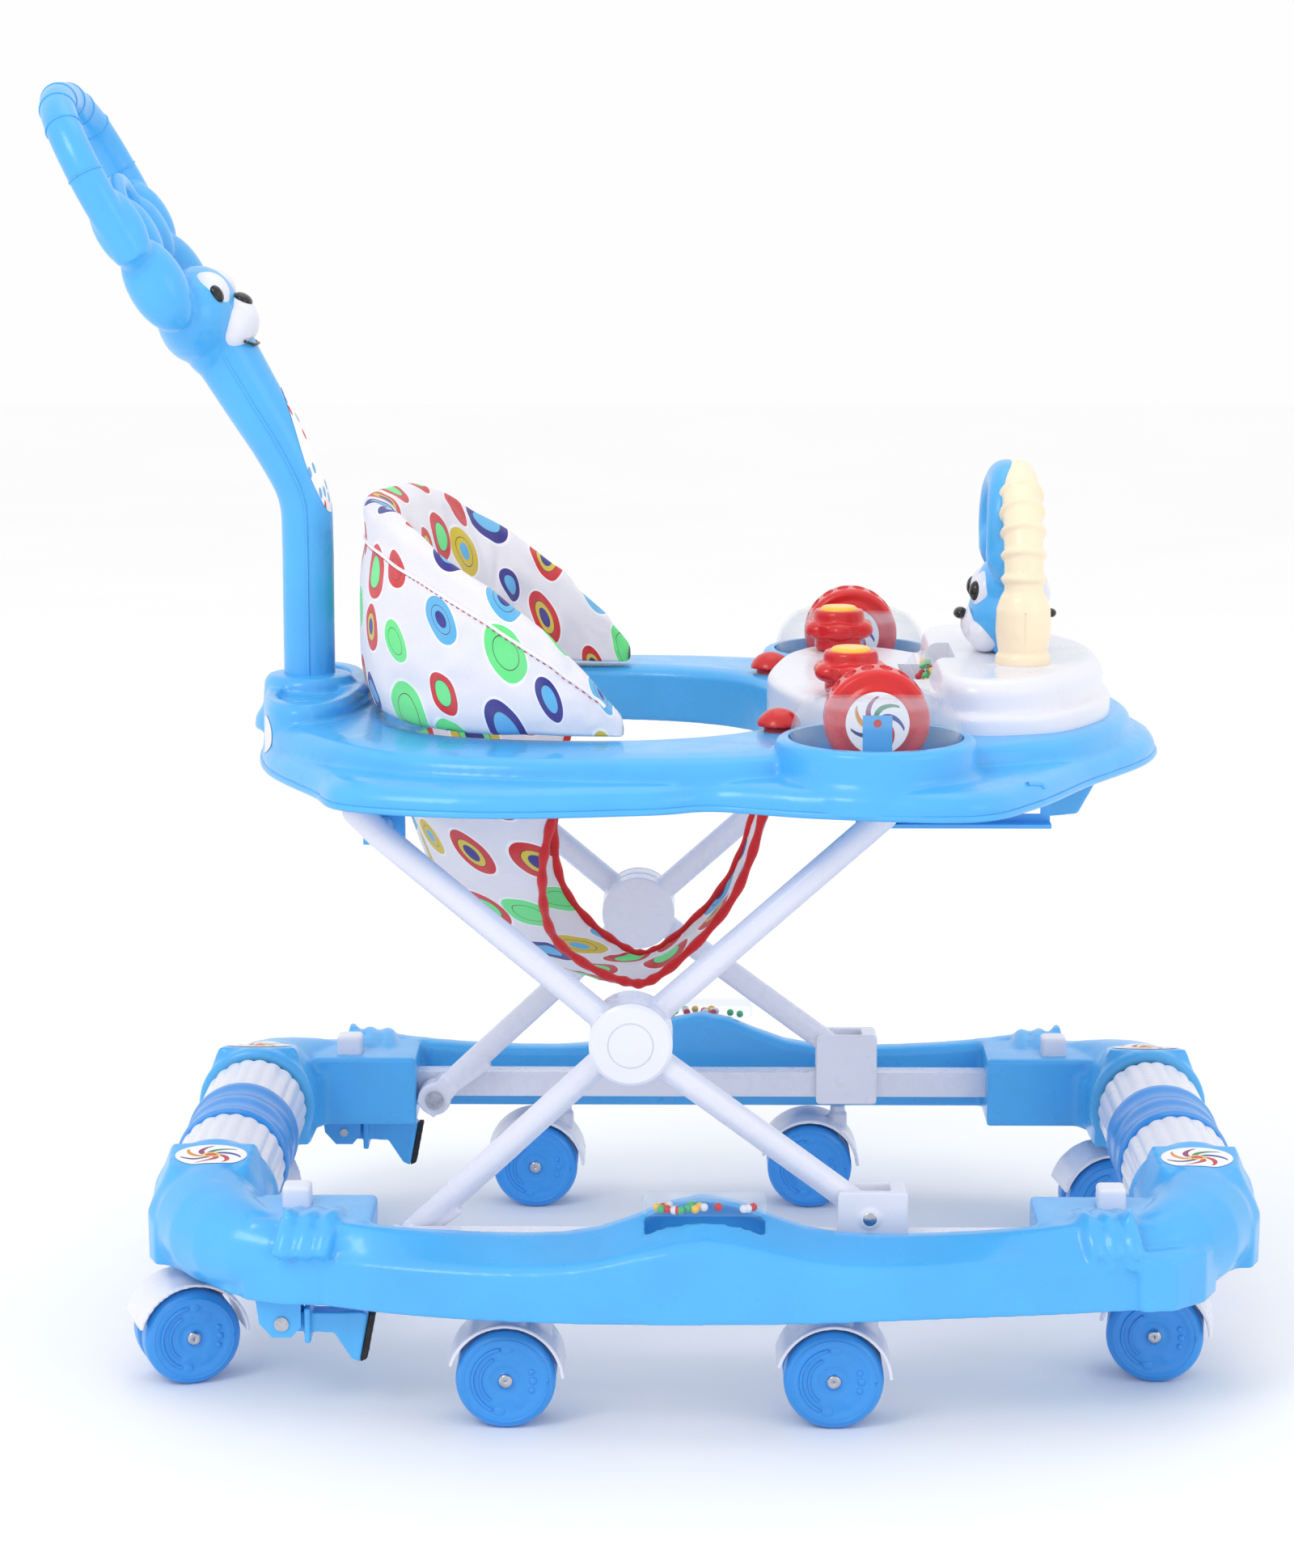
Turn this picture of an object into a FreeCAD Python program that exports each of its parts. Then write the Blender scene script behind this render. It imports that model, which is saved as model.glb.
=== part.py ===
import FreeCAD, Part
import math
import os

# Baby walker on eight swivel casters. X is forward, Y is the child's left, Z is up.
# All plan sizes below are measured from the middle of the wheeled base; the finished
# solids are moved by CENTRE_X so that the frame sits under the middle of the object.

V = FreeCAD.Vector
AXIS_X = V(1, 0, 0)
AXIS_Y = V(0, 1, 0)
AXIS_Z = V(0, 0, 1)
CENTRE_X = 36.5
SIDES = {"left": 1, "right": -1}
ENDS = {"front": 1, "rear": -1}

# Running fits and walls
FIT = 0.05
WALL = 3.0

# Wheeled base
BASE_BOTTOM = 75.0
RAIL_INNER_Y = 228.0
RAIL_OUTLINE = [(-248, 242), (-183, 267), (-84, 283), (0, 285), (84, 280), (150, 271), (212, 263), (250, 256)]
RAIL_STEPS = 24
RIDGE_Z = 118.0
HUMP_RISE = 26.0
HUMP_HALF = 50.0
BAND_Z = 106.0
CORNER_REAR = [(-352, 117), (-347, 157), (-335, 174), (-295, 226), (-276, 236), (-246, 242)]
CORNER_FRONT = [(352, 117), (350, 141), (338, 165), (319, 200), (294, 244), (276, 251), (246, 257)]
CORNER_TOP = 112.0
BLOCK_X0 = 206.0
BLOCK_X1 = 280.0
BLOCK_Y0 = 172.0
BLOCK_TOP = 125.0
CROSS_X = 315.0
CROSS_Z = 105.0
ELBOW_R = 37.0
ELBOW_Y = 118.0
ELBOW_BEND_Y = 146.0
ELBOW_DX = 70.0
ELBOW_DY = 80.0
ELBOW_TAPER = 18.0
CROSS_TUBE_R = 12.5
CROSS_TUBE_END = 139.0
WINDOW_HALF = 38.0

# Steel rails that the scissor feet ride on
STEEL_Y = 200.0
STEEL_W = 16.0
STEEL_Z0 = 92.0
STEEL_Z1 = 110.0
STEEL_END = 222.0

# Lock buttons on the corner blocks
LOCK_X = 255.0
LOCK_Y = 193.0
LOCK_SIZE = 18.0
LOCK_TOP = 138.0

# Casters
WHEEL_R = 31.0
WHEEL_W = 17.0
WHEEL_GAP = 8.0
TRAIL = 21.0
HOOD_R = 36.5
HOOD_W = 45.0
AXLE_R = 2.5
BUMP_REACH = 16.0
STEM_R = 4.0
STEM_TOP = 97.0
CASTERS = {
    "front_left": (311, 152, 8),
    "front_right": (311, -152, -8),
    "rear_left": (-311, 152, -20),
    "rear_right": (-311, -152, 20),
    "mid_front_left": (101, 238, 0),
    "mid_front_right": (101, -238, 0),
    "mid_rear_left": (-101, 238, 0),
    "mid_rear_right": (-101, -238, 0),
}

# Rollers on the cross tubes
ROLLER_HALF = 113.0
DRUM_HALF = 36.0
DRUM_R = 37.0
SLEEVE_R = 36.0
FLUTES = 22

# Brake stoppers under the rear corners
STOP_X = -262.0
STOP_Y = 222.0
STOP_Z = 59.0
STOP_REACH = 58.0
STOP_W = 14.0
STOP_PIN_R = 3.0

# Scissor legs
TUBE_R = 8.5
TUBE_WALL = 1.2
LEG_A_Y = 200.0
LEG_B_Y = 182.0
PIVOT_P = (-193.0, 94.0)
LINK_B = 202.0
LINK_A = 185.0
BETA = 43.1
SLIDER_RISE = 28.0
UPPER_A = 201.4
UPPER_A_ANGLE = 40.1
UPPER_B = 209.7
UPPER_B_ANGLE = 41.6
HUB_R = 26.0
BAR_R = 6.0
PIN_R = 4.0

# Tray
TRAY_Z = 382.0
LIP_Z = 395.0
TRAY_TOP = 415.0
TRAY_OUTLINE = [(-290, 0), (-280, 96), (-242, 181), (-217, 229), (-132, 252), (-35, 241), (6, 228),
                (67, 250), (158, 262), (201, 217), (241, 140), (286, 60), (298, 0)]
HOLE_OUTLINE = [(60, 0), (52, 60), (25, 115), (-30, 146), (-100, 150), (-165, 130), (-200, 80), (-208, 0)]
HOLE_SKIRT_Z = 376.0
GEAR_X = 105.0
GEAR_Y = 190.0
GEAR_Z = 433.0
POCKET_R = 55.0
POCKET_FLOOR = 396.0
POCKET_TOP = 409.0
DOME_TOP = 452.0
SOCKET_X = -261.0
SOCKET_R = 28.0
SOCKET_TOP = 429.0
STEM_HANDLE_R = 16.5
LEVER_X = 220.0
LEVER_Z = 372.0

# Toys
CONSOLE_REAR_TOP = 434.0
CONSOLE_TOP = 448.0
REST_X0 = 229.0
REST_X1 = 253.0
REST_HALF = 34.0
REST_TOP = 449.5
KNOB_X = 93.0
KNOB_Y = 97.0
RED_X = 47.0
RED_Y = 122.0
ROLL_X = 147.0
ROLL_Z = 432.0
ROLL_R = 11.5
ROLL_HALF = 32.0
ARCH_X = 205.0
ARCH_Y = 66.0
ARCH_TOP = 564.0

# Seat
SEAT_BASE = 417.0
SEAT_WALL = 22.0
SLING_WALL = 4.0


def sind(a):
    return math.sin(math.radians(a))


def cosd(a):
    return math.cos(math.radians(a))


HUB = (PIVOT_P[0] + LINK_B * cosd(BETA), PIVOT_P[1] + LINK_B * sind(BETA))
ALPHA = math.degrees(math.asin((LINK_B * sind(BETA) - SLIDER_RISE) / LINK_A))
PIVOT_Q = (HUB[0] + LINK_A * cosd(ALPHA), HUB[1] - LINK_A * sind(ALPHA))
PIVOT_UA = (HUB[0] - UPPER_A * cosd(UPPER_A_ANGLE), HUB[1] + UPPER_A * sind(UPPER_A_ANGLE))
PIVOT_UB = (HUB[0] + UPPER_B * cosd(UPPER_B_ANGLE), HUB[1] + UPPER_B * sind(UPPER_B_ANGLE))


# ---------------------------------------------------------------- building helpers

def box(x0, x1, y0, y1, z0, z1):
    return Part.makeBox(x1 - x0, y1 - y0, z1 - z0, V(x0, y0, z0))


def rounded(x0, x1, y0, y1, z0, z1, r):
    shape = box(x0, x1, y0, y1, z0, z1)
    return shape.makeFillet(r, shape.Edges)


def pin_y(r, x, z, y0, y1):
    return Part.makeCylinder(r, y1 - y0, V(x, y0, z), AXIS_Y)


def pin_z(r, x, y, z0, z1):
    return Part.makeCylinder(r, z1 - z0, V(x, y, z0), AXIS_Z)


def join(shapes):
    shapes = list(shapes)
    if len(shapes) == 1:
        return shapes[0]
    return shapes[0].multiFuse(shapes[1:]).removeSplitter()


def weld(shapes):
    """Joins overlapping rounded forms one after another."""
    whole = shapes[0]
    for shape in shapes[1:]:
        whole = whole.fuse(shape)
    return whole


def mirrored(shape):
    return shape.mirror(V(0, 0, 0), AXIS_Y)


def both(shape):
    return [shape, mirrored(shape)]


def on_side(shape, sign):
    return shape if sign > 0 else mirrored(shape)


def polygon(points):
    corners = [V(*p) for p in points]
    return Part.makePolygon(corners + corners[:1])


def prism(points, direction):
    return Part.Face(polygon(points)).extrude(direction)


def plan_prism(points, z0, z1):
    return prism([(x, y, z0) for x, y in points], V(0, 0, z1 - z0))


def side_prism(points, y0, y1):
    return prism([(x, y0, z) for x, z in points], V(0, y1 - y0, 0))


def closed_curve(half, z, inset=0.0, middle=0.0):
    """Smooth closed outline, symmetric about the X axis, pulled in by inset towards (middle, 0)."""
    full = half + [(x, -y) for x, y in reversed(half[1:-1])]
    points = []
    for x, y in full:
        reach = math.hypot(x - middle, y)
        keep = (reach - inset) / reach
        points.append(V(middle + (x - middle) * keep, y * keep, z))
    curve = Part.BSplineCurve()
    curve.interpolate(points, PeriodicFlag=True)
    return Part.Wire(curve.toShape())


def loft(wires, ruled=False):
    return Part.makeLoft(wires, True, ruled)


def circle_at(centre, direction, r):
    return Part.Wire(Part.makeCircle(r, V(*centre), V(*direction)))


def swept_tube(points, r):
    """Round rod along a smooth curve through the points."""
    curve = Part.BSplineCurve()
    curve.interpolate([V(*p) for p in points])
    start = curve.value(curve.FirstParameter)
    along = curve.tangent(curve.FirstParameter)[0]
    path = Part.Wire(curve.toShape())
    return path.makePipeShell([circle_at(start, along, r)], True, True)


def revolved(profile, centre, axis):
    """Solid of revolution from (radius, height) points about an axis through the centre."""
    outline = polygon([(r, 0, h) for r, h in profile])
    solid = Part.Face(outline).revolve(V(0, 0, 0), AXIS_Z, 360)
    if axis == "Y":
        solid.rotate(V(0, 0, 0), AXIS_X, -90)
    solid.translate(V(*centre))
    return solid


def spheroid(centre, cross, half_length, tilt=0.0, spin=0.0):
    """Ball stretched to half_length along its own axis: upright, tilted back about Y, then spun about X."""
    if half_length > cross:
        oval = Part.Ellipse(V(0, 0, half_length), V(cross, 0, 0), V(0, 0, 0))
        arc = Part.Arc(oval, 0, math.pi)
    else:
        oval = Part.Ellipse(V(cross, 0, 0), V(0, 0, half_length), V(0, 0, 0))
        arc = Part.Arc(oval, -math.pi / 2, math.pi / 2)
    edge = arc.toShape()
    ends = [v.Point for v in edge.Vertexes]
    half = Part.Face(Part.Wire([edge, Part.makeLine(ends[1], ends[0])]))
    ball = half.revolve(V(0, 0, 0), AXIS_Z, 360)
    ball.rotate(V(0, 0, 0), AXIS_X, spin)
    ball.rotate(V(0, 0, 0), AXIS_Y, tilt)
    ball.translate(V(*centre))
    return ball.toNurbs()


def save(name, *shapes):
    solids = []
    for shape in shapes:
        solids.extend(shape.Solids)
    group = Part.makeCompound(solids)
    group.translate(V(CENTRE_X, 0, 0))
    group.exportStep("parts/" + name + ".step")


# ---------------------------------------------------------------- wheeled base

def ridge(x):
    return RIDGE_Z + HUMP_RISE * math.exp(-(x / HUMP_HALF) ** 2) + 7 * (x / 215.0) ** 4


def band(x):
    return BAND_Z + 18 * math.exp(-(x / 60.0) ** 2)


def rail_section(x, outer, wall):
    floor = BASE_BOTTOM if wall == 0 else BASE_BOTTOM - 10
    top = ridge(x) - wall
    return polygon([
        (x, RAIL_INNER_Y + wall, floor),
        (x, RAIL_INNER_Y + wall, top - 4),
        (x, RAIL_INNER_Y + 4 + wall / 2, top),
        (x, RAIL_INNER_Y + 14, top),
        (x, outer - 5 - wall, band(x) + 3 - wall),
        (x, outer - wall, band(x) - 2 - wall),
        (x, outer - wall, floor),
    ])


def side_rail(wall):
    """Inverted-U rail: plane-sided slices between sections taken along a smooth outer edge."""
    edge = Part.BSplineCurve()
    edge.interpolate([V(x, y, 0) for x, y in RAIL_OUTLINE])
    first, last = edge.FirstParameter, edge.LastParameter
    marks = [edge.value(first + (last - first) * k / RAIL_STEPS) for k in range(RAIL_STEPS + 1)]
    return loft([rail_section(p.x, p.y, wall) for p in marks], True)


def corner_band(outer, sx, wall):
    inner = [(sx * (BLOCK_X0 + 36), RAIL_INNER_Y), (sx * (BLOCK_X0 + 36), BLOCK_Y0),
             (sx * 270, BLOCK_Y0), (sx * 277, 160), (sx * 278, 117)]
    outline = polygon([(x, y, BASE_BOTTOM) for x, y in outer + inner])
    if wall:
        outline = outline.makeOffset2D(-wall)
        outline.translate(V(0, 0, -10))
    height = CORNER_TOP - BASE_BOTTOM + (10 - wall if wall else 0)
    return Part.Face(outline).extrude(V(0, 0, height))


def elbow(sx, wall):
    """Bend from the end of the cross tube into the side rail, through rings turned about Z."""
    rings = []
    for t in (-1, 0, 15, 30, 45, 60, 75, 90):
        angle = max(t, 0)
        turn = math.degrees(math.atan2(ELBOW_DX * sind(angle), ELBOW_DY * cosd(angle)))
        x = CROSS_X - ELBOW_DX * (1 - cosd(angle))
        y = ELBOW_BEND_Y + ELBOW_DY * sind(angle) if t >= 0 else ELBOW_Y + wall
        ring = circle_at((0, 0, 0), (0, 1, 0), ELBOW_R - wall - ELBOW_TAPER * (angle / 90) ** 1.3)
        ring.rotate(V(0, 0, 0), AXIS_Z, sx * turn)
        ring.translate(V(sx * x, y, CROSS_Z - 4 * angle / 90))
        rings.append(ring)
    return loft(rings, True)


def side_shell_parts(wall):
    floor = BASE_BOTTOM + (0 if wall == 0 else -10)
    parts = [side_rail(wall), corner_band(CORNER_REAR, -1, wall), corner_band(CORNER_FRONT, 1, wall)]
    below = box(-400, 400, 0, 400, 0, floor)
    for sx in ENDS.values():
        xs = sorted([sx * (BLOCK_X0 + wall), sx * (BLOCK_X1 - wall)])
        parts.append(box(xs[0], xs[1], BLOCK_Y0 + wall, 232, floor, BLOCK_TOP - wall))
        parts.append(elbow(sx, wall).cut(below))
    return join(parts)


def base_side():
    shell = side_shell_parts(0).cut(side_shell_parts(WALL))
    extras = []
    for cx, cy, _ in CASTERS.values():
        if cy > 200:
            extras.append(pin_z(STEM_R + 5, cx, cy, BASE_BOTTOM, ridge(cx) - WALL))
        elif cy > 0:
            extras.append(pin_z(STEM_R + 5, cx, cy, BASE_BOTTOM, CROSS_Z + ELBOW_R - 1.5))
    for x in (-259, -247, -235, 235, 247, 259):
        outer = 243 if x < 0 else 257
        rib = Part.Face(rail_section(x, outer + 1.5, 0)).extrude(V(5, 0, 0))
        extras.append(rib.common(box(-300, 300, RAIL_INNER_Y - 1, 300, 100, 200)).translated(V(0, 0, 2)))
    shell = join([shell] + extras)
    cuts = [box(-WINDOW_HALF + 2, WINDOW_HALF - 2, 244, 262, 110, 160)]
    for cx, cy, _ in CASTERS.values():
        if cy > 0:
            cuts.append(pin_z(STEM_R + FIT, cx, cy, BASE_BOTTOM - 5, STEM_TOP + 1))
    for sx in ENDS.values():
        cuts.append(pin_y(CROSS_TUBE_R + FIT, sx * CROSS_X, CROSS_Z, ELBOW_Y - 5, CROSS_TUBE_END + 1))
        cuts.append(box(sx * LOCK_X - 9.3, sx * LOCK_X + 9.3, LOCK_Y - 9.3, LOCK_Y + 9.3, 100, 150))
        xs = sorted([sx * (BLOCK_X0 - 5), sx * (STEEL_END + 1)])
        half = STEEL_W / 2 + FIT
        cuts.append(box(xs[0], xs[1], STEEL_Y - half, STEEL_Y + half, STEEL_Z0 - FIT, STEEL_Z1 + FIT))
    return shell.cut(Part.makeCompound(cuts))


def rail_window():
    cap = rounded(-WINDOW_HALF, WINDOW_HALF, 241, 265, 137, 149, 5)
    bent = cap.cut(box(-WINDOW_HALF + 2, WINDOW_HALF - 2, 243, 263, 130, 147))
    return bent


def cross_tube(sx):
    tube = pin_y(CROSS_TUBE_R, sx * CROSS_X, CROSS_Z, -CROSS_TUBE_END, CROSS_TUBE_END)
    return tube.cut(pin_y(CROSS_TUBE_R - 1.5, sx * CROSS_X, CROSS_Z, -CROSS_TUBE_END, CROSS_TUBE_END))


def steel_rail():
    half = STEEL_W / 2
    rail = box(-STEEL_END, STEEL_END, STEEL_Y - half, STEEL_Y + half, STEEL_Z0, STEEL_Z1)
    hollow = box(-STEEL_END, STEEL_END, STEEL_Y - half + 1.5, STEEL_Y + half - 1.5,
                 STEEL_Z0 + 1.5, STEEL_Z1 - 1.5)
    return rail.cut(hollow)


def pivot_pins():
    """Fixed pins at the rear feet of leg B, through the inner side of each steel rail."""
    x, z = PIVOT_P
    head = pin_y(6.5, x, z, 169, 172)
    return join([pin_y(PIN_R, x, z, 171, STEEL_Y - STEEL_W / 2), head])


def lock_button(sx):
    half = LOCK_SIZE / 2
    x = sx * LOCK_X
    head = rounded(x - half, x + half, LOCK_Y - half, LOCK_Y + half, 116, LOCK_TOP, 2.5)
    flange = box(x - half - 3, x + half + 3, LOCK_Y - half - 3, LOCK_Y + half + 3, 113, 117)
    return join([head, flange])


# ---------------------------------------------------------------- rollers

def sleeve(y0, y1, web_at):
    flute = math.tau / FLUTES
    points = []
    for k in range(FLUTES):
        for step, r in ((0.0, SLEEVE_R), (0.5, SLEEVE_R), (0.6, SLEEVE_R - 1.2), (0.9, SLEEVE_R - 1.2)):
            a = (k + step) * flute
            points.append((r * math.cos(a), y0, r * math.sin(a)))
    body = prism(points, V(0, y1 - y0, 0))
    body = body.cut(pin_y(SLEEVE_R - 4.5, 0, 0, y0, y1))
    web = pin_y(SLEEVE_R - 4, 0, 0, web_at - 2, web_at + 2)
    hub = pin_y(CROSS_TUBE_R + 3, 0, 0, y0, y1)
    whole = join([body, web, hub])
    return whole.cut(pin_y(CROSS_TUBE_R + FIT, 0, 0, y0 - 1, y1 + 1))


def drum():
    grooves = [(-DRUM_HALF, DRUM_R), (-16, DRUM_R + 1), (-14, DRUM_R - 1.5), (-10, DRUM_R - 1.5), (-8, DRUM_R + 1),
               (8, DRUM_R + 1), (10, DRUM_R - 1.5), (14, DRUM_R - 1.5), (16, DRUM_R + 1), (DRUM_HALF, DRUM_R)]
    profile = [(r, h) for h, r in grooves]
    profile += [(DRUM_R - 5, DRUM_HALF), (DRUM_R - 5, -DRUM_HALF)]
    shell = revolved(profile, (0, 0, 0), "Y")
    web = pin_y(DRUM_R - 4, 0, 0, -2, 2)
    hub = pin_y(CROSS_TUBE_R + 3, 0, 0, -DRUM_HALF, DRUM_HALF)
    whole = join([shell, web, hub])
    return whole.cut(pin_y(CROSS_TUBE_R + FIT, 0, 0, -DRUM_HALF - 1, DRUM_HALF + 1))


def roller(sx):
    outer = sleeve(DRUM_HALF + 0.5, ROLLER_HALF, ROLLER_HALF - 4)
    parts = [drum(), outer, mirrored(outer)]
    for part in parts:
        part.translate(V(sx * CROSS_X, 0, CROSS_Z))
    return parts


# ---------------------------------------------------------------- casters

def caster_fork():
    """Swivel fork at the origin, trailing towards -X, with its stem up the Z axis."""
    half = HOOD_W / 2
    hood = pin_y(HOOD_R, -TRAIL, WHEEL_R, -half, half).cut(pin_y(HOOD_R - 2.5, -TRAIL, WHEEL_R, -half, half))
    cover = side_prism([(-TRAIL, WHEEL_R), (-TRAIL - 60, WHEEL_R + 16), (-TRAIL - 60, 120), (60, 120),
                        (60, WHEEL_R + 4)], -half, half)
    hood = hood.common(cover)
    web = side_prism([(-TRAIL - 7, WHEEL_R - 6), (-TRAIL + 7, WHEEL_R - 6), (6, 58), (-2, 62),
                      (-TRAIL - 10, HOOD_R + WHEEL_R - 1.5)], -2.5, 2.5)
    web = join([web, pin_y(8, -TRAIL, WHEEL_R, -3, 3)])
    collar = join([pin_z(7, 0, 0, 56, 68), pin_z(5.5, 0, 0, 66, BASE_BOTTOM - 1)])
    collar = collar.cut(pin_y(HOOD_R - 1, -TRAIL, WHEEL_R, -half, half))
    stem = pin_z(STEM_R, 0, 0, BASE_BOTTOM - 2, STEM_TOP)
    fork = join([hood, web, collar, stem])
    return fork.cut(pin_y(AXLE_R + FIT, -TRAIL, WHEEL_R, -10, 10))


def caster_wheels():
    """Twin wheels pressed on one axle."""
    inner = WHEEL_GAP / 2
    outer = inner + WHEEL_W
    profile = [(AXLE_R, outer - 2), (9, outer - 2), (10, outer - 1), (21, outer - 1), (22.5, outer), (26, outer),
               (WHEEL_R - 2, outer - 1.5), (WHEEL_R, outer - 4), (WHEEL_R, inner + 2), (WHEEL_R - 2, inner),
               (AXLE_R, inner)]
    wheel = revolved(profile, (-TRAIL, 0, WHEEL_R), "Y")
    bumps = []
    for angle in (60, 80, 100, 250, 300):
        x = -TRAIL + BUMP_REACH * cosd(angle)
        z = WHEEL_R + BUMP_REACH * sind(angle)
        bumps.append(pin_y(2.4, x, z, outer - 2, outer - 0.4))
    wheel = join([wheel] + bumps)
    axle = pin_y(AXLE_R, -TRAIL, WHEEL_R, -outer, outer)
    head = pin_y(4.5, -TRAIL, WHEEL_R, outer - 2, outer + 0.5)
    return join([axle, wheel, mirrored(wheel), head, mirrored(head)])


def placed_caster(shape, where):
    x, y, turn = where
    placed = shape.copy()
    placed.rotate(V(0, 0, 0), AXIS_Z, turn)
    placed.translate(V(x, y, 0))
    return placed


# ---------------------------------------------------------------- brake stoppers

def stopper_bracket():
    half = STOP_W / 2
    cheek = [(STOP_X - 16, BASE_BOTTOM), (STOP_X + 12, BASE_BOTTOM), (STOP_X + 12, STOP_Z - 2),
             (STOP_X + 6, STOP_Z - 9), (STOP_X - 6, STOP_Z - 9), (STOP_X - 14, STOP_Z)]
    plates = [side_prism(cheek, STOP_Y - half - 4, STOP_Y - half - 0.5),
              side_prism(cheek, STOP_Y + half + 0.5, STOP_Y + half + 4)]
    roof = box(STOP_X - 16, STOP_X + 12, STOP_Y - half - 4, STOP_Y + half + 4, BASE_BOTTOM - 2, BASE_BOTTOM)
    return join(plates + [roof])


def stopper_pin():
    half = STOP_W / 2 + 4
    shaft = pin_y(STOP_PIN_R, STOP_X, STOP_Z, STOP_Y - half - 1, STOP_Y + half + 1)
    return join([shaft, pin_y(4.5, STOP_X, STOP_Z, STOP_Y + half, STOP_Y + half + 1.5)])


def stopper_arm():
    half = STOP_W / 2
    tip = STOP_X + STOP_REACH
    eye = pin_y(8, STOP_X, STOP_Z, STOP_Y - half, STOP_Y + half)
    arm = side_prism([(STOP_X, STOP_Z + 6), (tip - 14, STOP_Z + 6), (tip - 4, STOP_Z + 5), (tip - 10, STOP_Z - 26),
                      (tip - 15, STOP_Z - 24), (tip - 26, STOP_Z - 7), (STOP_X, STOP_Z - 6)],
                     STOP_Y - half, STOP_Y + half)
    collar = box(STOP_X + 14, STOP_X + 18, STOP_Y - half - 3, STOP_Y + half + 3, STOP_Z - 12, STOP_Z + 9)
    whole = join([eye, arm, collar])
    return whole.cut(pin_y(STOP_PIN_R + FIT, STOP_X, STOP_Z, STOP_Y - half - 1, STOP_Y + half + 1))


def stopper_pad():
    half = STOP_W / 2
    tip = STOP_X + STOP_REACH
    return side_prism([(tip - 4, STOP_Z + 5), (tip, STOP_Z + 5), (tip - 5.5, STOP_Z - 24), (tip - 10, STOP_Z - 26)],
                      STOP_Y - half, STOP_Y + half)


# ---------------------------------------------------------------- scissor legs

def leg_tube(points, y):
    """Straight runs of round tube, hollow between the joints, with a ball at each bend."""
    parts = []
    hollows = []
    for (x0, z0), (x1, z1) in zip(points, points[1:]):
        run = V(x1 - x0, 0, z1 - z0)
        start = V(x0, y, z0)
        parts.append(Part.makeCylinder(TUBE_R, run.Length, start, run))
        if run.Length > 4 * HUB_R:
            inset = run.normalize() * (HUB_R + 2)
            length = math.hypot(x1 - x0, z1 - z0) - 2 * (HUB_R + 2)
            hollows.append(Part.makeCylinder(TUBE_R - TUBE_WALL, length, start + inset, run))
    for x, z in points:
        parts.append(Part.makeSphere(TUBE_R, V(x, y, z)))
    return join(parts).cut(Part.makeCompound(hollows))


def leg_frame_a():
    tail = (PIVOT_UA[0] - 15, PIVOT_UA[1] + 15)
    tube = leg_tube([PIVOT_Q, HUB, PIVOT_UA, tail], LEG_A_Y)
    disc = pin_y(HUB_R, HUB[0], HUB[1], LEG_A_Y - 8.3, LEG_A_Y + 9.5)
    side = join([tube, disc])
    side = side.cut(pin_y(PIN_R + FIT, PIVOT_Q[0], PIVOT_Q[1], LEG_A_Y - 12, LEG_A_Y + 12))
    side = side.cut(pin_y(PIN_R + FIT, HUB[0], HUB[1], LEG_A_Y - 12, LEG_A_Y + 12))
    bar = pin_y(BAR_R, PIVOT_UA[0], PIVOT_UA[1], -LEG_A_Y, LEG_A_Y)
    return join([side, mirrored(side), bar])


def leg_frame_b():
    tube = leg_tube([PIVOT_P, HUB, PIVOT_UB], LEG_B_Y)
    cap = pin_y(12, PIVOT_P[0], PIVOT_P[1], LEG_B_Y - 9, LEG_B_Y + 9)
    disc = pin_y(HUB_R, HUB[0], HUB[1], LEG_B_Y - 9.5, LEG_B_Y + 8.8)
    side = join([tube, cap, disc])
    side = side.cut(pin_y(PIN_R + FIT, PIVOT_P[0], PIVOT_P[1], LEG_B_Y - 12, LEG_B_Y + 12))
    bar = pin_y(BAR_R, PIVOT_UB[0], PIVOT_UB[1], -LEG_B_Y, LEG_B_Y)
    rivet = pin_y(PIN_R, HUB[0], HUB[1], LEG_B_Y, LEG_A_Y + 9.5)
    return join([side, mirrored(side), bar, rivet, mirrored(rivet)])


def hub_cap():
    return revolved([(0, 0), (HUB_R, 0), (HUB_R, 1.5), (HUB_R - 2, 3.0), (14.5, 3.6), (14.5, 3.0), (13.5, 3.0),
                     (13.5, 3.9), (0, 4.2)], (HUB[0], LEG_A_Y + 9.6, HUB[1]), "Y")


def rail_slider():
    """Block that rides the steel rail and carries the front foot of leg A."""
    qx, qz = PIVOT_Q
    half = STEEL_W / 2
    body = box(qx - 20, qx + 24, STEEL_Y - half - 4, STEEL_Y + half + 6.5, STEEL_Z0 - 5, qz + 17)
    body = body.makeFillet(3, [e for e in body.Edges if abs(e.tangentAt(e.FirstParameter).y) > 0.9])
    channel = box(qx - 30, qx + 30, STEEL_Y - half - 0.6, STEEL_Y + half + 0.6, STEEL_Z0 - 1.4, STEEL_Z1 + 1.4)
    slot = box(qx - 30, qx + 13, STEEL_Y - TUBE_R - 0.4, STEEL_Y + TUBE_R + 0.4, qz - TUBE_R - 1.2, qz + 30)
    body = body.cut(channel).cut(slot)
    pin = pin_y(PIN_R, qx, qz, STEEL_Y - half - 4, STEEL_Y + half + 6.5)
    rivet = pin_y(6, qx, qz, STEEL_Y + half + 6, STEEL_Y + half + 8)
    return join([body, pin, rivet])


# ---------------------------------------------------------------- tray

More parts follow.
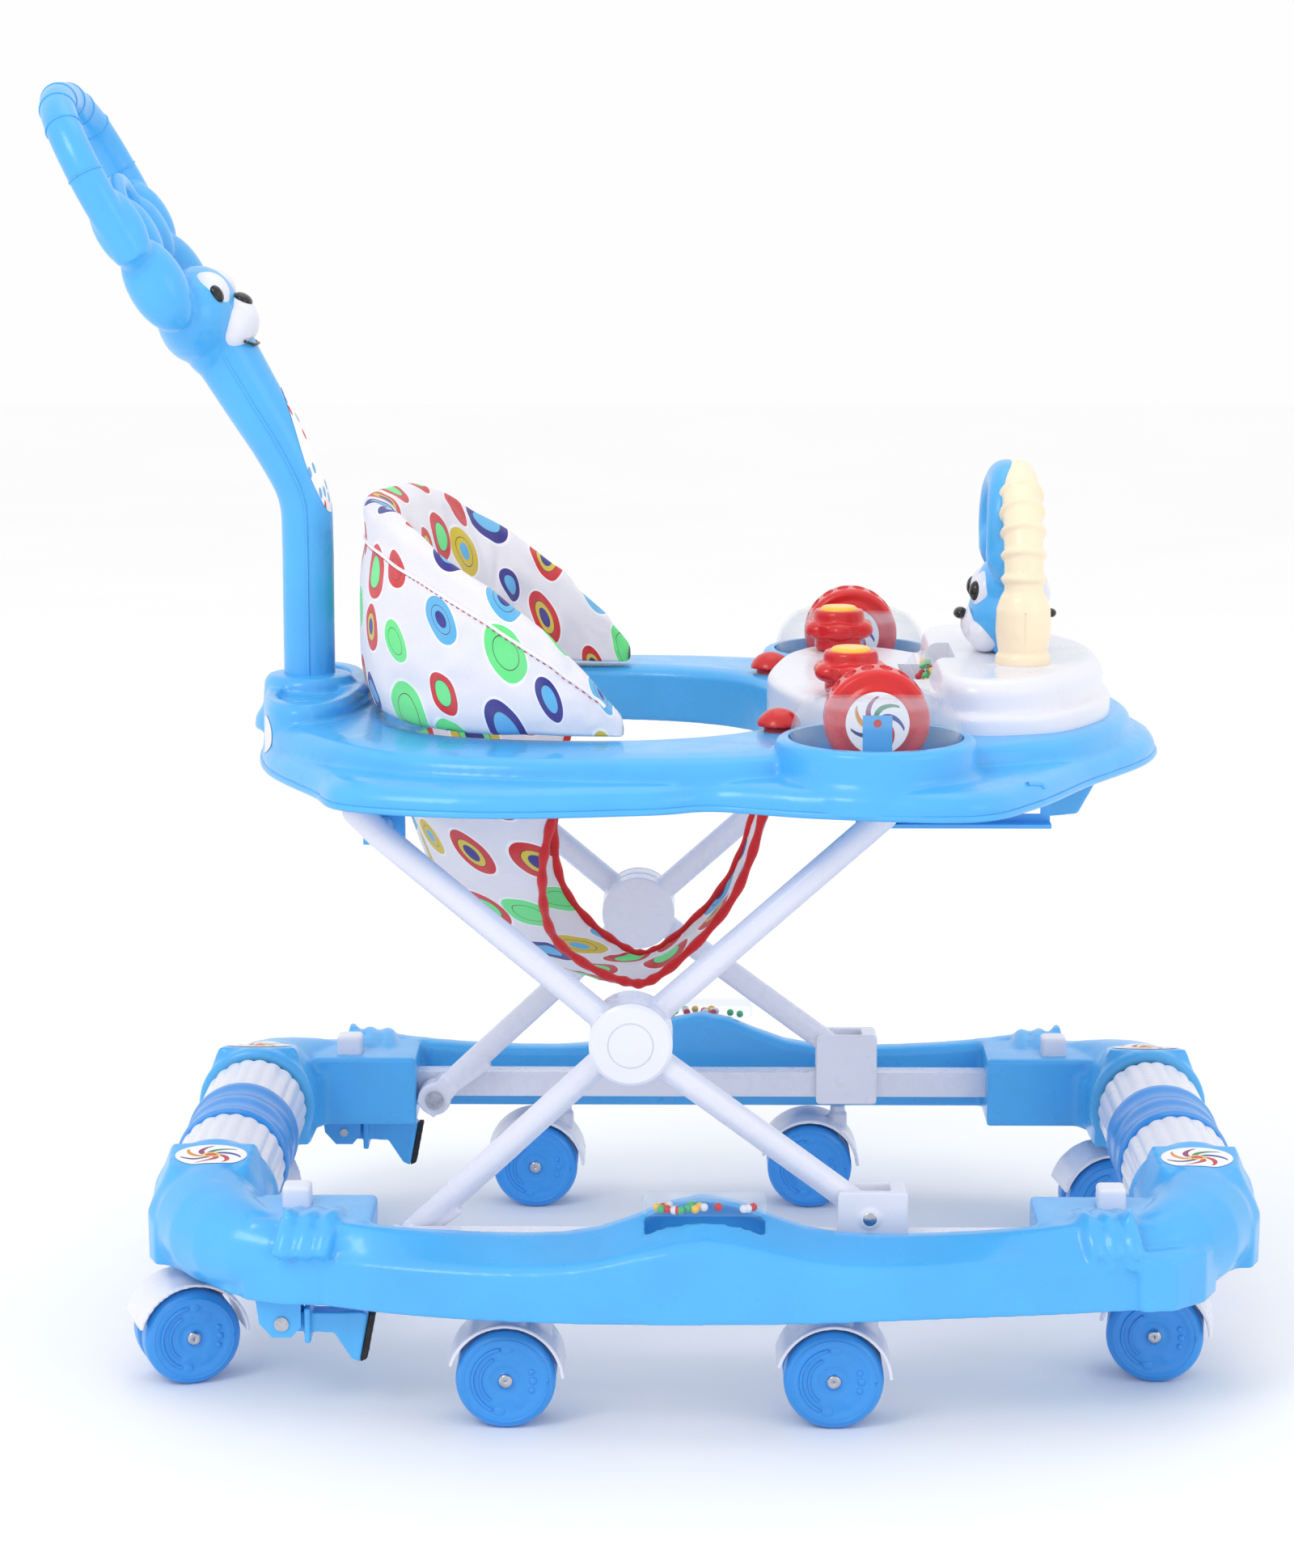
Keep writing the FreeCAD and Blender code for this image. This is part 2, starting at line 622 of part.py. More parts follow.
def tray_envelope(wall):
    """Crowned tray body; with a wall it is the hollow inside."""
    base = TRAY_Z - (10 if wall else 0)
    rim = loft([closed_curve(TRAY_OUTLINE, base, wall), closed_curve(TRAY_OUTLINE, LIP_Z - wall, wall)], True)
    crown = loft([closed_curve(TRAY_OUTLINE, LIP_Z - wall - 1, wall + 4),
                  closed_curve(TRAY_OUTLINE, LIP_Z + 9 - wall, wall + 8),
                  closed_curve(TRAY_OUTLINE, LIP_Z + 15 - wall, wall + 22),
                  closed_curve(TRAY_OUTLINE, TRAY_TOP - 1 - wall, wall + 48),
                  closed_curve(TRAY_OUTLINE, TRAY_TOP - wall, wall + 62)])
    return join([rim, crown])


def tray_shell(outer):
    shell = outer.cut(tray_envelope(WALL))
    hole = loft([closed_curve(HOLE_OUTLINE, HOLE_SKIRT_Z - 5, 0, -70), closed_curve(HOLE_OUTLINE, 430, 0, -70)], True)
    skirt = loft([closed_curve(HOLE_OUTLINE, HOLE_SKIRT_Z, -WALL, -70),
                  closed_curve(HOLE_OUTLINE, TRAY_TOP - 1.5, -WALL, -70)], True)
    bosses = [skirt]
    for sy in SIDES.values():
        bosses.append(pin_z(POCKET_R + 3, GEAR_X, sy * GEAR_Y, POCKET_FLOOR - WALL, POCKET_TOP))
    bosses.append(pin_z(SOCKET_R, SOCKET_X, 0, TRAY_Z, SOCKET_TOP))
    shell = join([shell] + bosses)
    cuts = [hole, pin_z(STEM_HANDLE_R + FIT, SOCKET_X, 0, TRAY_Z + 4, SOCKET_TOP + 1)]
    for sy in SIDES.values():
        cuts.append(pin_z(POCKET_R, GEAR_X, sy * GEAR_Y, POCKET_FLOOR, POCKET_TOP + 10))
        cuts.append(pin_z(10, RED_X, sy * RED_Y, TRAY_Z, TRAY_TOP + 5))
    return shell.cut(Part.makeCompound(cuts))


def tray_brackets():
    """Rear hangers for the bar of leg A and front tracks for the slide blocks of leg B."""
    ax, az = PIVOT_UA
    bx, bz = PIVOT_UB
    hanger = box(ax - 13, ax + 13, 164, 170, az - 12, LIP_Z + 12)
    hanger = hanger.cut(pin_y(BAR_R + FIT, ax, az, 160, 175))
    track_top = box(bx - 16, bx + 106, 138, 162, bz + 11.5, POCKET_FLOOR - WALL)
    web = box(bx - 16, bx + 106, 138, 141, bz - 14, bz + 12)
    lip = box(bx - 16, bx + 106, 138, 152, bz - 14, bz - 11.5)
    track = join([track_top, web, lip])
    track = track.cut(box(bx - 8, bx + 100, 137, 142, bz - 7, bz + 7))
    return both(hanger) + both(track)


def tray_slide():
    bx, bz = PIVOT_UB
    block = box(bx - 11, bx + 11, 142, 156, bz - 9.5, bz + 9.5)
    return block.cut(pin_y(BAR_R + FIT, bx, bz, 140, 160))


def height_lever():
    paddle = side_prism([(214, 378), (256, 378), (258, 366), (246, 344), (226, 342), (216, 356)], -32, 32)
    paddle = paddle.makeFillet(3, [e for e in paddle.Edges if abs(e.tangentAt(e.FirstParameter).y) > 0.9])
    grip = box(222, 262, -26, 26, 352, 372)
    paddle = paddle.cut(grip.translated(V(12, 0, -6)))
    return paddle.cut(pin_y(3 + FIT, LEVER_X, LEVER_Z, -40, 40))


def lever_hinge():
    ear = box(LEVER_X - 6, LEVER_X + 10, 34, 38, LEVER_Z - 6, LIP_Z + 14)
    return join([ear, pin_y(3, LEVER_X, LEVER_Z, 26, 38)])


# ---------------------------------------------------------------- toys

def console(outer):
    rear = plan_prism([(36, -40), (62, -104), (78, -122), (128, -122), (140, -100), (160, -84),
                       (160, 84), (140, 100), (128, 122), (78, 122), (62, 104), (36, 40)], 400, CONSOLE_REAR_TOP)
    front = plan_prism([(150, -126), (176, -134), (222, -118), (258, -46), (262, 0), (258, 46), (222, 118),
                        (176, 134), (150, 126)], 400, CONSOLE_TOP)
    body = join([rear, front])
    inner = join([rear.copy().translated(V(0, 0, -WALL)), front.copy().translated(V(0, 0, -WALL))])
    shrink = FreeCAD.Matrix()
    shrink.scale(V(0.94, 0.95, 1))
    inner = inner.transformGeometry(shrink).translated(V(12, 0, 0))
    trough = box(ROLL_X - 17, ROLL_X + 17, -ROLL_HALF - 2, ROLL_HALF + 2, ROLL_Z - ROLL_R - 1.5, 460)
    liner = box(ROLL_X - 20, ROLL_X + 20, -ROLL_HALF - 6, ROLL_HALF + 6, ROLL_Z - ROLL_R - 4, CONSOLE_REAR_TOP)
    rest = box(REST_X0, REST_X1, -REST_HALF, REST_HALF, CONSOLE_TOP - 1, REST_TOP)
    shell = join([body.cut(inner), liner, rest]).cut(trough).cut(outer)
    holes = [pin_y(2 + FIT, ROLL_X, ROLL_Z, -ROLL_HALF - 6, ROLL_HALF + 6)]
    for sy in SIDES.values():
        holes.append(pin_z(5 + FIT, KNOB_X, sy * KNOB_Y, 415, 450))
    return shell.cut(Part.makeCompound(holes))


def gear_wheel():
    points = []
    teeth = 14
    for k in range(teeth * 4):
        r = 33.0 if k % 4 in (0, 1) else 30.8
        a = math.tau * k / (teeth * 4)
        points.append((r * math.cos(a), -11, r * math.sin(a)))
    rim = prism(points, V(0, 22, 0))
    recess = pin_y(20.5, 0, 0, -12, -9)
    rim = rim.cut(recess).cut(mirrored(recess))
    hollow = pin_y(27, 0, 0, -7, 7).cut(pin_y(8, 0, 0, -8, 8))
    vent = pin_y(1.5, 15, 0, -12, 12)
    rim = rim.cut(hollow).cut(vent)
    return join([rim, pin_y(2.5, 0, 0, -17, 17)]).translated(V(GEAR_X, GEAR_Y, GEAR_Z))


def wheel_post():
    posts = []
    for y0 in (GEAR_Y - 17.5, GEAR_Y + 12.5):
        post = box(GEAR_X - 9, GEAR_X + 9, y0, y0 + 5, POCKET_FLOOR, GEAR_Z + 5)
        post = post.cut(pin_y(2.5 + FIT, GEAR_X, GEAR_Z, y0 - 1, y0 + 6))
        posts.append(post)
    return posts


def dome_cover():
    outer = [(0, 0), (53, 0), (53, 16), (50, 27), (43, 36), (32, 41), (0, DOME_TOP - POCKET_TOP)]
    inner = [(0, -1), (51, -1), (51, 16), (48, 26), (42, 34), (31, 39), (0, DOME_TOP - POCKET_TOP - 2)]
    centre = (GEAR_X, GEAR_Y, POCKET_TOP)
    dome = revolved(outer, centre, "Z").cut(revolved(inner, centre, "Z"))
    return dome.cut(box(GEAR_X - 38, GEAR_X + 38, GEAR_Y - 13, GEAR_Y + 13, POCKET_TOP + 20, 500))


def flower_knob():
    z0 = CONSOLE_REAR_TOP + 0.4
    body = revolved([(0, 0), (15, 0), (16.5, 2), (16.5, 9), (13, 11), (0, 11)], (0, 0, z0), "Z")
    petals = [Part.makeCylinder(8.5, 9, V(14 * cosd(60 * k), 14 * sind(60 * k), z0 + 10)) for k in range(6)]
    head = join([body, pin_z(15, 0, 0, z0 + 10, z0 + 23)] + petals)
    head = head.cut(pin_z(13.2, 0, 0, z0 + 14, z0 + 40))
    stem = pin_z(5, 0, 0, 418, z0 + 1)
    return join([head, stem]).translated(V(KNOB_X, KNOB_Y, 0))


def knob_button():
    z0 = CONSOLE_REAR_TOP + 0.4
    return revolved([(0, 17), (13, 17), (13, 28), (11, 30), (0, 30)], (KNOB_X, KNOB_Y, z0), "Z")


def red_button():
    dome = Part.makeSphere(15, V(RED_X, RED_Y, TRAY_TOP - 1)).common(box(0, 100, 0, 200, TRAY_TOP + 3, 440))
    return join([dome, pin_z(9.7, RED_X, RED_Y, 400, 419)])


def clear_roller():
    z = ROLL_Z
    drum_shape = pin_y(ROLL_R, ROLL_X, z, -ROLL_HALF + 1, ROLL_HALF - 1)
    return join([drum_shape, pin_y(2, ROLL_X, z, -ROLL_HALF - 5, ROLL_HALF + 5)])


def toy_arch():
    straight = ARCH_TOP - ARCH_Y
    path = [(ARCH_X, ARCH_Y * cosd(a), straight + ARCH_Y * sind(a)) for a in range(0, 181, 20)]
    bow = swept_tube(path, 10.5)
    leg = revolved([(0, 0), (15, 0), (15, 7), (14, 8), (16, 14), (16, 38), (12, 45), (11.2, 46),
                    (11.2, 60), (0, 60)], (ARCH_X, ARCH_Y, CONSOLE_TOP), "Z")
    rings = []
    for a in (24, 40, 56, 72):
        centre = V(ARCH_X, ARCH_Y * cosd(a), straight + ARCH_Y * sind(a))
        rings.append(Part.makeTorus(10.5, 3, centre, V(0, -sind(a), cosd(a))))
    half = join([leg] + rings)
    return join([bow, half, mirrored(half)])


def arch_figure(arch):
    head = spheroid((ARCH_X - 6, 0, 473), 25, 33, 0, 90)
    neck = rounded(ARCH_X - 16, ARCH_X + 10, -20, 20, CONSOLE_TOP, 480, 4)
    ears = [spheroid((ARCH_X - 8, sy * 30, 516), 14, 19) for sy in SIDES.values()]
    hoop = swept_tube([(ARCH_X - 8, 28, 520), (ARCH_X - 9, 27, 540), (ARCH_X - 9, 14, 556), (ARCH_X - 9, 0, 560),
                       (ARCH_X - 9, -14, 556), (ARCH_X - 9, -27, 540), (ARCH_X - 8, -28, 520)], 9)
    spine = rounded(ARCH_X - 14, ARCH_X + 4, -22, 22, 470, 528, 4)
    return weld([head, neck, spine] + ears + [hoop]).cut(arch)


# ---------------------------------------------------------------- push handle

def push_handle():
    stem = pin_z(STEM_HANDLE_R, SOCKET_X, 0, TRAY_Z + 6, 515)
    bend = loft([
        circle_at((SOCKET_X, 0, 515), (0, 0, 1), 16.5),
        circle_at((SOCKET_X - 1, 0, 540), (-0.1, 0, 1), 17),
        circle_at((SOCKET_X - 14, 0, 575), (-0.45, 0, 0.9), 18),
        circle_at((SOCKET_X - 38, 0, 612), (-0.55, 0, 0.83), 19),
        circle_at((SOCKET_X - 58, 0, 645), (-0.5, 0, 0.87), 20),
    ])
    head = spheroid((-328, 0, 668), 30, 44, -25, 90)
    snout = spheroid((-309, 0, 653), 17, 22, -20, 90)
    lobes = [spheroid((-350, sy * 50, 688), 19, 26, -25) for sy in SIDES.values()]
    paws = [spheroid((-371, sy * 65, 725), 15.5, 25, -25) for sy in SIDES.values()]
    grip = swept_tube([(-366, 66, 715), (-386, 74, 752), (-404, 62, 786), (-413, 34, 802), (-415, 0, 806),
                       (-413, -34, 802), (-404, -62, 786), (-386, -74, 752), (-366, -66, 715)], 11)
    return weld([stem, bend, head, snout] + lobes + paws + [grip])


# ---------------------------------------------------------------- seat

def seat_back():
    """Plain wrap-round back pad, open to the front, cut to its sloping top."""
    outer = [(-52, 166), (-110, 166), (-165, 148), (-203, 95), (-219, 0)]
    points = outer + [(x, -y) for x, y in reversed(outer[:-1])] + seat_plan_inner()
    wall = plan_prism(points, SEAT_BASE, 560)
    slope = side_prism([(-260, 552), (-205, 549), (-176, 533), (-136, 508), (-96, 477), (-66, 447), (-49, 421),
                        (-20, 421), (-20, 600), (-260, 600)], -300, 300)
    return wall.cut(slope)


def seat_plan_inner():
    half = [(-52, 166 - 16), (-110, 166 - SEAT_WALL), (-155, 130), (-183, 85), (-219 + SEAT_WALL, 0)]
    return [(x, -y) for x, y in half] + [(x, y) for x, y in reversed(half[:-1])]


def seat_sling():
    spine = [(-182, 372), (-160, 318), (-124, 268), (-80, 240), (-44, 234), (-8, 246), (18, 288), (32, 340), (36, 372)]
    inner = [(x + (3.5 if x < -44 else -3.5 if x > -20 else 0), z + (SLING_WALL if -90 < x < 0 else 1)) for x, z in spine]
    band = side_prism(spine + inner[::-1], -150, 150)
    outline = plan_prism([(-190, -104), (-150, -100), (-110, -72), (-60, -44), (-10, -34), (40, -40),
                          (40, 40), (-10, 34), (-60, 44), (-110, 72), (-150, 100), (-190, 104)], 200, 400)
    return band.common(outline)


# ---------------------------------------------------------------- write every sub-part

def write_base():
    left = base_side()
    save("base_side_left", left)
    save("base_side_right", mirrored(left))
    save("cross_tubes", cross_tube(1), cross_tube(-1))
    save("steel_rails", *both(steel_rail()))
    save("leg_pivot_pins", *both(pivot_pins()))
    window = max(rail_window().cut(left).Solids, key=lambda solid: solid.Volume)
    save("rail_windows", *both(window))
    for end, sx in ENDS.items():
        save(end + "_roller", *roller(sx))
        for side, sy in SIDES.items():
            save("lock_button_" + end + "_" + side, on_side(lock_button(sx), sy))
    fork = caster_fork()
    wheels = caster_wheels()
    for name, where in CASTERS.items():
        save("caster_fork_" + name, placed_caster(fork, where))
        save("caster_wheels_" + name, placed_caster(wheels, where))
    save("stopper_brackets", *both(stopper_bracket().cut(stopper_pin())))
    save("stopper_pins", *both(stopper_pin()))
    for side, sy in SIDES.items():
        save("stopper_arm_" + side, on_side(stopper_arm(), sy))
        save("stopper_pad_" + side, on_side(stopper_pad(), sy))


def write_legs():
    save("leg_frame_a", leg_frame_a())
    save("leg_frame_b", leg_frame_b())
    save("hub_caps", *both(hub_cap()))
    save("rail_sliders", *both(rail_slider()))
    save("tray_slides", *both(tray_slide()))


def write_tray():
    outer = tray_envelope(0)
    save("tray_shell", tray_shell(outer))
    save("tray_brackets", *(tray_brackets() + both(lever_hinge())))
    save("height_lever", height_lever())
    save("console", console(outer))
    save("dome_covers", *both(dome_cover()))
    save("wheel_posts", *(wheel_post() + [mirrored(p) for p in wheel_post()]))
    arch = toy_arch()
    save("toy_arch", arch)
    save("arch_figure", arch_figure(arch))
    save("bead_roller", clear_roller())
    for side, sy in SIDES.items():
        save("gear_wheel_" + side, on_side(gear_wheel(), sy))
        save("flower_knob_" + side, on_side(flower_knob(), sy))
        save("knob_button_" + side, on_side(knob_button(), sy))
        save("red_button_" + side, on_side(red_button(), sy))
    save("push_handle", push_handle())
    save("seat_back", seat_back())
    save("seat_sling", seat_sling())


os.makedirs("parts", exist_ok=True)
write_base()
write_legs()
write_tray()
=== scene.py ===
import bpy
import bmesh
import math
import random
from mathutils import Matrix, Vector, noise
from mathutils.bvhtree import BVHTree


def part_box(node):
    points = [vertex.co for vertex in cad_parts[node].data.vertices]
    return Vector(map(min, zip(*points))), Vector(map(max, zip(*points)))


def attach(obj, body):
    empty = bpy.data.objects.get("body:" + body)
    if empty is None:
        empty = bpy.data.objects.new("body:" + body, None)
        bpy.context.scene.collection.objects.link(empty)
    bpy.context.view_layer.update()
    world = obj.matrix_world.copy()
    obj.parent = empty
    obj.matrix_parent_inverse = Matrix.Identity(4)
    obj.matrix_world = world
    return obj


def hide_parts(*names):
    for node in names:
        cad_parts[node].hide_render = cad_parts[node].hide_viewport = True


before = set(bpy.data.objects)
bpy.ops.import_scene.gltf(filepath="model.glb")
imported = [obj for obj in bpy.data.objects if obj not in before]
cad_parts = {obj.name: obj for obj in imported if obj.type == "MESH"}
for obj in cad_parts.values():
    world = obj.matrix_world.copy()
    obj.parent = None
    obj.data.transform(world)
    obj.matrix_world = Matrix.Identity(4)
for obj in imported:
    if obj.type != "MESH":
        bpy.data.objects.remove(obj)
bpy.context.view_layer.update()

MM = 0.001
SIDES = {"left": 1, "right": -1}
ENDS = {"front": 1, "rear": -1}
RAIL_LOW, RAIL_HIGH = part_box("steel_rails")
MIDDLE_X = (RAIL_LOW.x + RAIL_HIGH.x) / 2

# Places in millimetres from the middle of the wheeled base, one side each
ROLLER_X, ROLLER_Z = 315, 105
STOPPER_Y = 222
STEM_X = -261
DOME_X, DOME_Y = 105, 190
KNOB_X, KNOB_Y = 93, 97
ARCH_X, ARCH_Y, ARCH_Z, ARCH_RISE = 205, 66, 494, 68
BEADS_X, BEADS_Z = 147, 432


def at(x, y, z):
    """Point given in millimetres from the middle of the wheeled base."""
    return Vector((MIDDLE_X + x * MM, y * MM, z * MM))


def srgb(r, g, b):
    """Linear colour from 0 to 255 screen values."""
    return tuple((v / 255 / 12.92) if v <= 10 else ((v / 255 + 0.055) / 1.055) ** 2.4 for v in (r, g, b))


# ---------------------------------------------------------------- colours

BLUE = srgb(78, 180, 246)
WHEEL_BLUE = srgb(50, 152, 236)
WHITE = srgb(232, 233, 244)
ENAMEL = srgb(228, 229, 242)
CREAM = srgb(249, 233, 203)
RED = srgb(216, 16, 22)
YELLOW = srgb(255, 198, 62)
INK_RED = srgb(214, 22, 26)
INK_NAVY = srgb(36, 32, 138)
INK_SKY = srgb(92, 184, 236)
INK_GREEN = srgb(104, 238, 138)
INK_MUSTARD = srgb(222, 196, 52)
INK_WHITE = srgb(240, 238, 246)


# ---------------------------------------------------------------- materials

class Nodes:
    """Short hand for one material's node tree."""

    def __init__(self, name):
        self.material = bpy.data.materials.new(name)
        self.material.use_nodes = True
        self.tree = self.material.node_tree
        self.shader = self.tree.nodes["Principled BSDF"]

    def add(self, kind, **settings):
        node = self.tree.nodes.new(kind)
        for key, value in settings.items():
            if key in node.inputs:
                node.inputs[key].default_value = value
            else:
                setattr(node, key, value)
        return node

    def link(self, output, target):
        self.tree.links.new(output, target)

    def math(self, operation, a, b=None):
        node = self.add("ShaderNodeMath", operation=operation)
        for k, value in enumerate((a, b)):
            if value is None:
                continue
            if isinstance(value, (int, float)):
                node.inputs[k].default_value = value
            else:
                self.link(value, node.inputs[k])
        return node.outputs[0]

    def mix(self, factor, a, b):
        """Colour mix; a and b are colours or sockets."""
        node = self.add("ShaderNodeMix", data_type="RGBA")
        self.link(factor, node.inputs["Factor"])
        for socket, value in ((node.inputs[6], a), (node.inputs[7], b)):
            if isinstance(value, tuple):
                socket.default_value = (*value, 1)
            else:
                self.link(value, socket)
        return node.outputs[2]

    def noise(self, scale, detail=3.0, vector=None):
        node = self.add("ShaderNodeTexNoise", Scale=scale, Detail=detail)
        if vector is None:
            vector = self.add("ShaderNodeTexCoord").outputs["Object"]
        self.link(vector, node.inputs["Vector"])
        return node.outputs["Fac"]

    def spread(self, value, low, high):
        node = self.add("ShaderNodeMapRange")
        self.link(value, node.inputs["Value"])
        node.inputs["From Min"].default_value = 0.3
        node.inputs["From Max"].default_value = 0.7
        node.inputs["To Min"].default_value = low
        node.inputs["To Max"].default_value = high
        return node.outputs["Result"]

    def bump(self, height, strength, distance):
        node = self.add("ShaderNodeBump", Strength=strength, Distance=distance)
        self.link(height, node.inputs["Height"])
        self.link(node.outputs["Normal"], self.shader.inputs["Normal"])

    def colour(self, socket):
        self.link(socket, self.shader.inputs["Base Color"])

    def rough(self, value, low, high):
        self.link(self.spread(value, low, high), self.shader.inputs["Roughness"])

    def set(self, **values):
        """Plain shader values, such as Coat_Weight for the coat's weight."""
        for key, value in values.items():
            self.shader.inputs[key.replace("_", " ")].default_value = value


def shade(colour, factor):
    return tuple(min(1.0, c * factor) for c in colour)


def plastic(name, colour, rough=0.3, peel=0.25, depth=0.9):
    """Moulded plastic: slight flow marks in colour and gloss, and a fine orange peel."""
    n = Nodes(name)
    flow = n.noise(14, 4)
    n.colour(n.mix(n.spread(flow, 0, 1), shade(colour, depth), shade(colour, 1.03)))
    n.rough(n.noise(60, 5), rough - 0.05, rough + 0.07)
    n.bump(n.noise(420, 2), peel * 0.14, 0.00008)
    n.set(Coat_Weight=0.25, Coat_Roughness=0.12)
    return n.material


def enamel(name, colour):
    """Sprayed enamel on tube: glossy, with a soft ripple."""
    n = Nodes(name)
    n.colour(n.mix(n.spread(n.noise(30, 4), 0, 1), shade(colour, 0.97), colour))
    n.rough(n.noise(90, 3), 0.22, 0.36)
    n.bump(n.noise(160, 3), 0.08, 0.0002)
    n.set(Coat_Weight=0.3)
    return n.material


def bright_metal(name):
    n = Nodes(name)
    n.set(Metallic=1.0)
    n.colour(n.mix(n.noise(200, 3), srgb(150, 152, 160), srgb(215, 215, 222)))
    n.rough(n.noise(500, 2), 0.18, 0.34)
    n.bump(n.noise(700, 2), 0.2, 0.0002)
    return n.material


def rubber(name):
    n = Nodes(name)
    n.colour(n.mix(n.noise(80, 4), srgb(14, 14, 16), srgb(36, 36, 40)))
    n.rough(n.noise(200, 3), 0.5, 0.75)
    n.bump(n.noise(600, 3), 0.5, 0.0005)
    return n.material


def clear_plastic(name, edge=0.3):
    """Thin clear moulding: almost unseen face on and firmer at the edges, with a painted reflection that whitens its
    colour towards the edges.
    """
    n = Nodes(name)
    facing = n.add("ShaderNodeLayerWeight", Blend=0.35).outputs["Facing"]
    # Painted reflection: the base colour whitens where the surface turns edge on.
    n.colour(n.mix(facing, srgb(200, 220, 240), srgb(240, 246, 255)))
    n.link(n.math("ADD", n.math("MULTIPLY", facing, edge), 0.03), n.shader.inputs["Alpha"])
    n.rough(n.noise(50, 3), 0.03, 0.1)
    n.set(Coat_Weight=0.5)
    return n.material


def ramp(n, value, colours):
    """Stepped colour choice: value 0 to 1 picks one of the colours."""
    node = n.add("ShaderNodeValToRGB")
    node.color_ramp.interpolation = "CONSTANT"
    elements = node.color_ramp.elements
    while len(elements) < len(colours):
        elements.new(0.5)
    for k, colour in enumerate(colours):
        elements[k].position = k / len(colours)
        elements[k].color = (*colour, 1)
    n.link(value, node.inputs["Fac"])
    return node.outputs["Color"]


def dotted_cloth(name):
    """Printed cotton: rings and spots of mixed size on white, over a fine plain weave."""
    n = Nodes(name)
    uv = n.add("ShaderNodeTexCoord").outputs["UV"]
    wobble = n.add("ShaderNodeTexNoise", Scale=22.0, Detail=1.0)
    n.link(uv, wobble.inputs["Vector"])
    lean = n.add("ShaderNodeVectorMath", operation="MULTIPLY_ADD")
    n.link(wobble.outputs["Color"], lean.inputs[0])
    lean.inputs[1].default_value = (0.009, 0.009, 0)
    n.link(uv, lean.inputs[2])
    cells = n.add("ShaderNodeTexVoronoi", Scale=23.5, Randomness=0.36)
    cells.voronoi_dimensions = "2D"
    n.link(lean.outputs[0], cells.inputs["Vector"])
    pick = n.add("ShaderNodeSeparateColor")
    n.link(cells.outputs["Color"], pick.inputs["Color"])
    choice = pick.outputs[0]
    size = n.math("ADD", n.math("MULTIPLY", pick.outputs[1], 0.2), 0.25)
    reach = n.math("DIVIDE", cells.outputs["Distance"], size)
    red, sky, mustard, navy, green = INK_RED, INK_SKY, INK_MUSTARD, INK_NAVY, INK_GREEN
    outer = ramp(n, choice, [red, sky, mustard, navy, red, mustard, green, red])
    middle = ramp(n, choice, [green, sky, mustard, sky, mustard, green, green, red])
    inner = ramp(n, choice, [green, navy, sky, sky, navy, navy, green, red])
    ground = n.mix(n.math("LESS_THAN", reach, 1.1), INK_WHITE, srgb(252, 252, 255))
    spots = n.mix(n.math("LESS_THAN", reach, 1.0), ground, outer)
    spots = n.mix(n.math("LESS_THAN", reach, 0.62), spots, srgb(60, 30, 30))
    spots = n.mix(n.math("LESS_THAN", reach, 0.59), spots, middle)
    spots = n.mix(n.math("LESS_THAN", reach, 0.36), spots, inner)
    soft = n.noise(35, 3, uv)
    n.colour(n.mix(n.spread(soft, 0.0, 0.12), spots, srgb(205, 200, 215)))
    n.rough(n.noise(300, 2, uv), 0.75, 0.92)
    n.set(Sheen_Weight=0.25, Sheen_Roughness=0.5)
    warp = n.add("ShaderNodeTexWave", Scale=340.0, Distortion=0.4)
    weft = n.add("ShaderNodeTexWave", Scale=340.0, Distortion=0.4, bands_direction="Y")
    n.link(uv, warp.inputs["Vector"])
    n.link(uv, weft.inputs["Vector"])
    weave = n.math("ADD", warp.outputs["Fac"], weft.outputs["Fac"])
    creases = n.math("MULTIPLY", n.noise(26, 5, uv), 2.5)
    n.bump(n.math("ADD", weave, creases), 0.35, 0.0006)
    return n.material


def plain_cotton(name):
    n = Nodes(name)
    n.colour(n.mix(n.noise(60, 4), srgb(232, 230, 240), srgb(250, 249, 252)))
    n.rough(n.noise(300, 2), 0.75, 0.92)
    n.bump(n.noise(900, 2), 0.4, 0.0004)
    return n.material


def binding_cloth(name):
    """Red bias tape; its diagonal weave is given only as a fine noise bump."""
    n = Nodes(name)
    n.colour(n.mix(n.noise(70, 4), srgb(190, 12, 20), srgb(226, 30, 34)))
    n.rough(n.noise(400, 2), 0.7, 0.9)
    n.set(Sheen_Weight=0.3)
    n.bump(n.noise(900, 2), 0.6, 0.0006)
    return n.material


